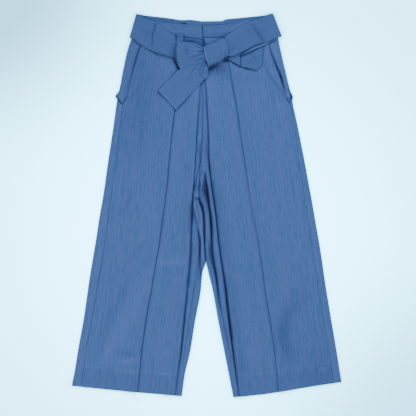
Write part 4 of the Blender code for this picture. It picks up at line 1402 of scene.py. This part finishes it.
# Painted shade along the crossing fold, beside the belt loop, on the shadow side of the bow loop
# and along the lower edge
SASH_RIGHT_SHADE_LINES = [
    (1.7, [(-126, 456, .5), (-126.7, 448, .6), (-128.5, 440, .6), (-132, 431, .55),
           (-134, 422, .5), (-134.3, 408, .5), (-135, 398, .3), (-135.5, 389, .1)]),
    (1.3, [(-75, 420, .9), (-75, 410, .8)]),
    (1.7, [(-57, 421, .9), (-57, 409, .9)]),
    (3.0, [(-60, 410, .4), (-45, 408, .4), (-30, 405, .35), (-15, 399, .3), (-7, 395, .3)]),
    (3.4, [(-74, 406, .1), (-77, 390, .25), (-79, 374, .4), (-80, 366, .5)]),
    (1.6, [(-185, 411, .3), (-162, 399, .15), (-133.5, 384, .1), (-78, 367, .15)]),
]
sash_right_rows = [
    *level_rows(SASH_FLOOR, (-155.3, 474.3, -168.3, 412.8)),
    *side_turn((-174.0, 476.5), (-191.0, 417.0), -1),
    *level_rows(
        SASH_TOP,
        (-152.5, 465, -162.5, 399), (-126, 455, -134, 384), (-92.5, 433, -100, 373),
        (-76, 421.5, -76, 366.5), (-52, 404, -40, 360), (-8, 388, 0, 358.5), (22, 382, 22, 361),
    ),
]
make_strip(
    "sash_front_right", sash_right_rows,
    step=1.8, creases=SASH_RIGHT_CREASES, lines=SASH_RIGHT_SHADE_LINES,
    # painted highlight along the upper edge, which lightens its shadow on the band
    painted_highlights=[(2.2, [(-168, 474, .02), (-135, 457, .1), (-102, 440, .14), (-82, 428, .1)])],
    painted_lightness=-0.05,
)

# %% Left stretch of the sash
# Slack that runs down toward the knot
SASH_LEFT_CREASES = [
    Crease(-1.0, 5.0, [(112, 452), (136, 426), (152, 404)]),
    Crease(1.1, 6.0, [(100, 450), (122, 424), (140, 399)]),
    Crease(0.9, 3.0, [(64, 424), (58, 405), (54, 385)]),
    Crease(0.9, 3.0, [(80, 428), (70, 408), (60, 388)]),
    Crease(0.8, 3.5, [(100, 424), (84, 404), (66, 389)]),
]
# Painted shade in the folds of the slack, beside the knot and along the lower edge
SASH_LEFT_SHADE_LINES = [
    (2.6, [(113.5, 450, .15), (124, 435, .3), (138.5, 417.5, .35), (143.5, 407, .25)]),
    (6.5, [(113, 453, .03), (123, 438, .12), (135, 419, .14), (142, 406, .06)]),
    (1.5, [(58, 398, .05), (58.5, 390, .2), (57, 381, .4)]),
    (1.3, [(70, 404, .1), (68, 392, .3), (64, 382, .25)]),
    (1.6, [(55, 367, .7), (70, 370, .7), (86, 378, .6), (100, 386, .6), (115, 394, .6),
           (140, 405, .4)]),
]
sash_left_rows = [
    *level_rows(SASH_FLOOR, (148.3, 474.3, 166.3, 413.8)),
    *side_turn((167.5, 477.5), (189.5, 420.5), 1),
    *level_rows(10.4, (140, 467.5, 160, 410)),
    *level_rows(11.1, (106, 455, 124, 397.5), (75, 439, 95, 383)),
    straight((53.0, 423.0, 14.4), (62.0, 370.0, 13.2)),
    straight((41.0, 412.0, 15.6), (41.0, 378.0, 15.0)),
]
make_strip(
    "sash_front_left", sash_left_rows,
    step=1.8, creases=SASH_LEFT_CREASES, lines=SASH_LEFT_SHADE_LINES,
    # painted highlights along the upper edge and beside the knot
    painted_highlights=[
        (4.0, [(56, 421, .06), (73, 433, .1), (92, 444, .1), (108, 452, .04)]),
        (2.4, [(50, 414, .15), (54.5, 402, .22), (57.5, 388, .1)]),
    ],
    painted_lightness=-0.03,
)

# %% Second edge under the left stretch
# Painted shadow where the left stretch's lower edge shades the second edge
UNDER_EDGE_SHADE_LINES = [
    (1.6, [(86, 375, .9), (100, 384, .9), (115, 394, .9), (140, 404, .75), (160, 412, .5)]),
]
under_edge_rows = [
    *level_rows(8.3, (163, 415, 160, 404.5)),
    *level_rows(8.9, (147, 408.5, 141.5, 396.5)),
    *level_rows(9.4, (116, 396, 110.5, 383.5)),
    *level_rows(9.5, (93, 384.5, 87, 373)),
]
make_strip(
    "sash_under_edge", under_edge_rows, wall=0.9, across=8, edge=0.1,
    lines=UNDER_EDGE_SHADE_LINES,
    # painted highlight along the middle of the second edge
    painted_highlights=[(1.5, [(95, 378.5, .15), (112, 387, .25), (128, 395, .25), (150, 403, .2)])],
)

# %% [markdown]
# ## The half bow
# The knot holds one loop, which goes to the wearer's right and comes back over itself. A
# long tail comes out below the loop and a short one goes to the left. The wrap over the
# middle is the last strip, and a padded lump inside it stands for the bunched cloth.
# Gathers could be sculpted or simulated. Here they are a few ridges at chosen shares of
# each strip's width, so every fold stays where it was put.

# %% Bow loop
LOOP_LOW = 11.3
LOOP_HIGH = 16.5
LOOP_TURN = (LOOP_HIGH - LOOP_LOW) / 2

loop_rows = [
    Row((-11.0, 389.0, LOOP_LOW), (-9.0, 375.0, LOOP_LOW), (-6.0, 362.0, 10.6)),
    Row((-38.0, 400.0, LOOP_LOW), (-36.0, 376.0, LOOP_LOW), (-30.0, 351.0, 8.7)),
    Row((-60.0, 405.0, LOOP_LOW), (-60.0, 371.0, LOOP_LOW), (-52.0, 343.0, 7.6)),
]
for angle in FOLD_ANGLES:
    reach = LOOP_TURN * (1.0 - math.sin(angle))
    rise = (1.0 - math.cos(angle)) / 2.0
    z = mix(LOOP_LOW, LOOP_HIGH, rise)
    loop_rows.append(Row(
        (-70.5 + reach, 405.5, z), (-73.0 + reach, 371.0, z),
        (-65.0 + reach, 338.5, mix(7.0, 10.6, rise)),
    ))
loop_rows += [
    Row((-58.0, 406.0, LOOP_HIGH), (-60.0, 372.0, 16.8), (-52.0, 342.0, 10.9)),
    Row((-30.0, 403.0, LOOP_HIGH), (-32.0, 375.5, 17.2), (-30.0, 346.5, 11.0)),
    Row((-9.5, 394.0, 16.4), (-7.5, 377.5, 16.9), (-4.5, 355.5, 12.6)),
    Row((-4.0, 392.0, 16.2), (-2.0, 377.5, 16.7), (1.0, 357.5, 12.8)),
]


def loop_gathers(along, share):
    """Folds on the loop's upper side, highest at the knot."""
    near_knot = ease((along - 0.62) / 0.38)
    high = folds(share, [(0.14, 1.4), (0.33, 1.9), (0.52, 1.5), (0.74, 1.9), (0.9, 1.0)], 0.055)
    wide = folds(share, [(0.24, 1.2), (0.62, 1.5)], 0.12) * ease((along - 0.55) / 0.2)
    return near_knot ** 1.6 * high + wide * (1.0 - 0.5 * near_knot)


# Painted shade where the knot, the tail and the sash shade the loop, and in its folds
LOOP_SHADE_LINES = [
    (1.8, [(-8, 394, .5), (-5, 383, .3), (-2.5, 370, .05)]),
    (2.2, [(-80, 367, .5), (-74, 353, .7), (-67, 340, .5)]),
    (5.0, [(-46, 402, .05), (-49, 386, .2), (-48, 366, .08)]),
    (1.7, [(-18, 382, .5), (-12, 382.5, .8), (-6, 382, .8)]),
    (1.8, [(-32, 399, .1), (-20, 393, .35), (-7, 387, .45)]),
    (2.0, [(-42, 367, .1), (-30, 370, .35), (-15, 374.5, .4), (-6, 376, .3)]),
    (1.6, [(-30, 357, .1), (-18, 362, .35), (-6, 367, .4)]),
    (1.6, [(-3, 356, .2), (-9, 353, .2), (-16, 349, .1)]),
]
make_strip(
    "bow_loop", loop_rows, step=1.6, across=44,
    gathers=loop_gathers, lines=LOOP_SHADE_LINES, painted_lightness=0.03,
    # painted highlight along the loop's lower edge
    painted_highlights=[(1.8, [(-8, 356, .1), (-24, 349, .2), (-44, 344, .25), (-61, 340, .3)])],
)

# %% Tails
long_tail_rows = [
    straight((-2.0, 358.5, 14.2), (4.4, 345.5, 12.8)),
    straight((-20.0, 351.0, 13.8), (5.0, 322.0, 9.2)),
    straight((-42.5, 345.0, 13.4), (-6.0, 311.0, 7.4)),
    straight((-64.0, 338.0, 12.9), (-25.0, 291.0, 6.4)),
    straight((-92.5, 311.0, 7.2), (-50.0, 264.0, 6.2)),
    straight((-119.0, 285.0, 5.6), (-75.0, 237.5, 6.2)),
]


def long_tail_gathers(along, share):
    """Folds that start at the knot and die away down the tail."""
    near_knot = 1.0 - ease((along - 0.05) / 0.55)
    return near_knot * folds(share, [(0.2, 1.5), (0.42, 1.9), (0.64, 2.2), (0.84, 1.5)], 0.07)


# Painted shade in the folds near the knot and where the loop meets the tail
TAIL_SHADE_LINES = [
    (1.6, [(-30, 346.5, .05), (-18, 350.5, .3), (-5, 355.5, .4)]),
    (1.7, [(-3, 356, .1), (-11, 348, .35), (-16, 337, .4), (-14, 325, .35), (-5, 316, .3)]),
    (1.6, [(-1, 352, .2), (-6, 344, .3), (-9, 336, .3), (-6, 328, .2)]),
    (1.8, [(-22, 348, .1), (-34, 334, .3), (-46, 318, .1)]),
]
make_strip(
    "sash_tail_right", long_tail_rows, step=1.6, across=40,
    gathers=long_tail_gathers, lines=TAIL_SHADE_LINES, painted_lightness=0.07,
    # painted highlights along the tail's edges
    painted_highlights=[(1.6, [(-114, 283, .15), (-74, 240, .15)]), (1.8, [(-66, 337, .2), (-116, 287, .2)])],
)

ON_LEG = THIRD_LAYER + 0.5 + SEAM_GAP + 0.8


def on_leg(x, y, raised=0.0):
    """A point of cloth that lies on the pleats of the leg."""
    return (x, y, ON_LEG + raised + float(lift(y)))


short_tail_rows = [
    straight(on_leg(45.0, 377.0, 0.3), on_leg(50.5, 367.0, 0.6)),
    straight(on_leg(66.0, 380.0, 0.1), on_leg(68.5, 356.5, 1.2)),
    straight(on_leg(86.0, 386.0), on_leg(86.0, 346.5, 1.6)),
]
short_tail_rows += [
    straight(on_leg(ax, ay), on_leg(bx, by)) for ax, ay, bx, by in [
        (88.5, 387, 88.5, 345.5), (106, 390, 106, 341.5), (124, 388, 126, 337.5),
        (131, 390.5, 133, 342.5), (142, 394.5, 139.5, 352.5),
    ]
]
make_strip(
    "sash_tail_left", short_tail_rows, step=1.4, across=20,
    creases=[Crease(0.9, 4.0, [(104, 372), (118, 360), (132, 350)])],
    # painted shade along the short tail's folds and edges, and where the knot and sash shade it
    lines=[
        (1.6, [(86.8, 374, .7), (86.8, 348, .6)]),
        (2.6, [(110, 378, .15), (120, 368, .25), (130, 358, .15)]),
        (2.4, [(86, 370, .9), (100, 376.5, .9), (112, 382, .9), (128, 390, .8), (142, 396, .6)]),
        (3.0, [(50, 372, .7), (60, 371, .4), (70, 374, .5)]),
    ],
)

# %% Knot
wrap_rows = [
    straight((-4.2, 386.0, 14.4), (42.5, 406.0, 14.2)),
    straight((-5.8, 391.0, 14.7), (44.0, 412.0, 14.5)),
    straight((-7.0, 394.0, 16.4), (45.2, 415.0, 16.2)),
    straight((-6.2, 391.5, 18.2), (46.5, 412.5, 18.0)),
    Row((-4.5, 384.0, 19.4), (23.2, 393.5, 20.2), (51.0, 403.0, 19.0)),
    Row((-2.5, 374.0, 19.5), (25.8, 382.5, 20.4), (54.0, 391.0, 18.0)),
    Row((-0.5, 364.0, 19.0), (27.0, 372.0, 20.0), (54.5, 380.0, 17.2)),
    straight((2.5, 354.0, 18.8), (53.5, 372.0, 16.2)),
    straight((5.5, 346.5, 15.6), (51.5, 366.5, 14.4)),
    straight((7.0, 343.0, 12.0), (49.5, 363.5, 11.6)),
    straight((9.0, 347.0, 9.4), (48.0, 366.5, 9.4)),
]


def knot_folds(along, share):
    """Folds that run down the wrap, tightest at its lower edge."""
    on_top = ease((along - 0.1) / 0.15) * (1.0 - ease((along - 0.8) / 0.2))
    ridges = folds(share, [(0.16, 0.9), (0.58, 1.2), (0.76, 1.6), (0.9, 1.2)], 0.05)
    return on_top * (ridges + folds(share, [(0.35, 0.9)], 0.16))


# Painted shade beside the knot's right edge and under its lower edge
KNOT_SHADE_LINES = [
    (1.6, [(44, 385, .1), (48, 374, .3), (46, 366, .4)]),
    (1.4, [(30, 400, .1), (38, 386, .2), (38, 372, .2)]),
    (3.4, [(10, 345, .6), (16, 347, .8), (24, 350.5, .8), (31, 355, .3)]),
    (3.0, [(41, 360, .5), (47, 364, .9), (52, 368, .8)]),
]
make_strip(
    "sash_knot", wrap_rows,
    step=1.2, across=36, gathers=knot_folds, lines=KNOT_SHADE_LINES, painted_lightness=0.04,
    # painted highlight along the knot's left edge
    painted_highlights=[(2.0, [(-3.5, 392, .1), (-1.5, 378, .4), (1, 364, .4), (5, 352, .1)])],
)


CORE_SWELL, CORE_FOLDS = 0.05, 5     # how much and how often the lump bulges round its side


def make_knot_core():
    """The cloth bunched inside the knot, a rounded lump with a few folds round it."""
    low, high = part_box("knot_core")
    centre, half = (low + high) / 2, (high - low) / 2
    mesh = bpy.data.meshes.new("knot_core")
    lump = bmesh.new()
    bmesh.ops.create_uvsphere(lump, u_segments=48, v_segments=24, radius=1.0)
    layer = lump.loops.layers.uv.new("grain")
    for vertex in lump.verts:
        around = math.atan2(vertex.co.y, vertex.co.x)
        swell = 1.0 - CORE_SWELL + CORE_SWELL * math.cos(CORE_FOLDS * around)
        vertex.co = Vector((
            centre.x + vertex.co.x * half.x * swell,
            centre.y + vertex.co.y * half.y * swell,
            centre.z + vertex.co.z * half.z,
        ))
    for face in lump.faces:
        for loop in face.loops:
            loop[layer].uv = (loop.vert.co.x / MM, loop.vert.co.y / MM)
    lump.to_mesh(mesh)
    lump.free()
    mesh.shade_smooth()
    core = place("knot_core_cloth", mesh, COTTON["sash_cotton"])
    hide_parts("knot_core")
    return core


print("knot core:", len(make_knot_core().data.polygons), "faces")


# %% Belt loops
def make_belt_loop(name, x_left, x_right, levels, lines=()):
    """A narrow band that hangs from the waist seam; levels are (y, z)."""
    rows = [straight((x_left, y, z), (x_right, y, z)) for y, z in levels]
    make_strip(
        name, rows, slot="band_cotton", wall=0.9, step=1.2,
        across=10, edge=0.2, lines=lines,
    )


make_belt_loop(
    "right_belt_loop", -72.5, -57.5,
    [(427.5, 6.2), (425.0, 6.5), (422.0, 9.5), (418.0, 9.5), (374.0, 9.5)],
    # painted shade across the loop, near its top
    lines=[(1.2, [(-74, 420.5, .5), (-56, 419.5, .5)])],
)
make_belt_loop(
    "left_belt_loop", 49.0, 62.5,
    [(430.5, 6.2), (426.0, 6.6), (418.0, 8.6), (408.0, 9.4), (392.0, 9.4)],
)
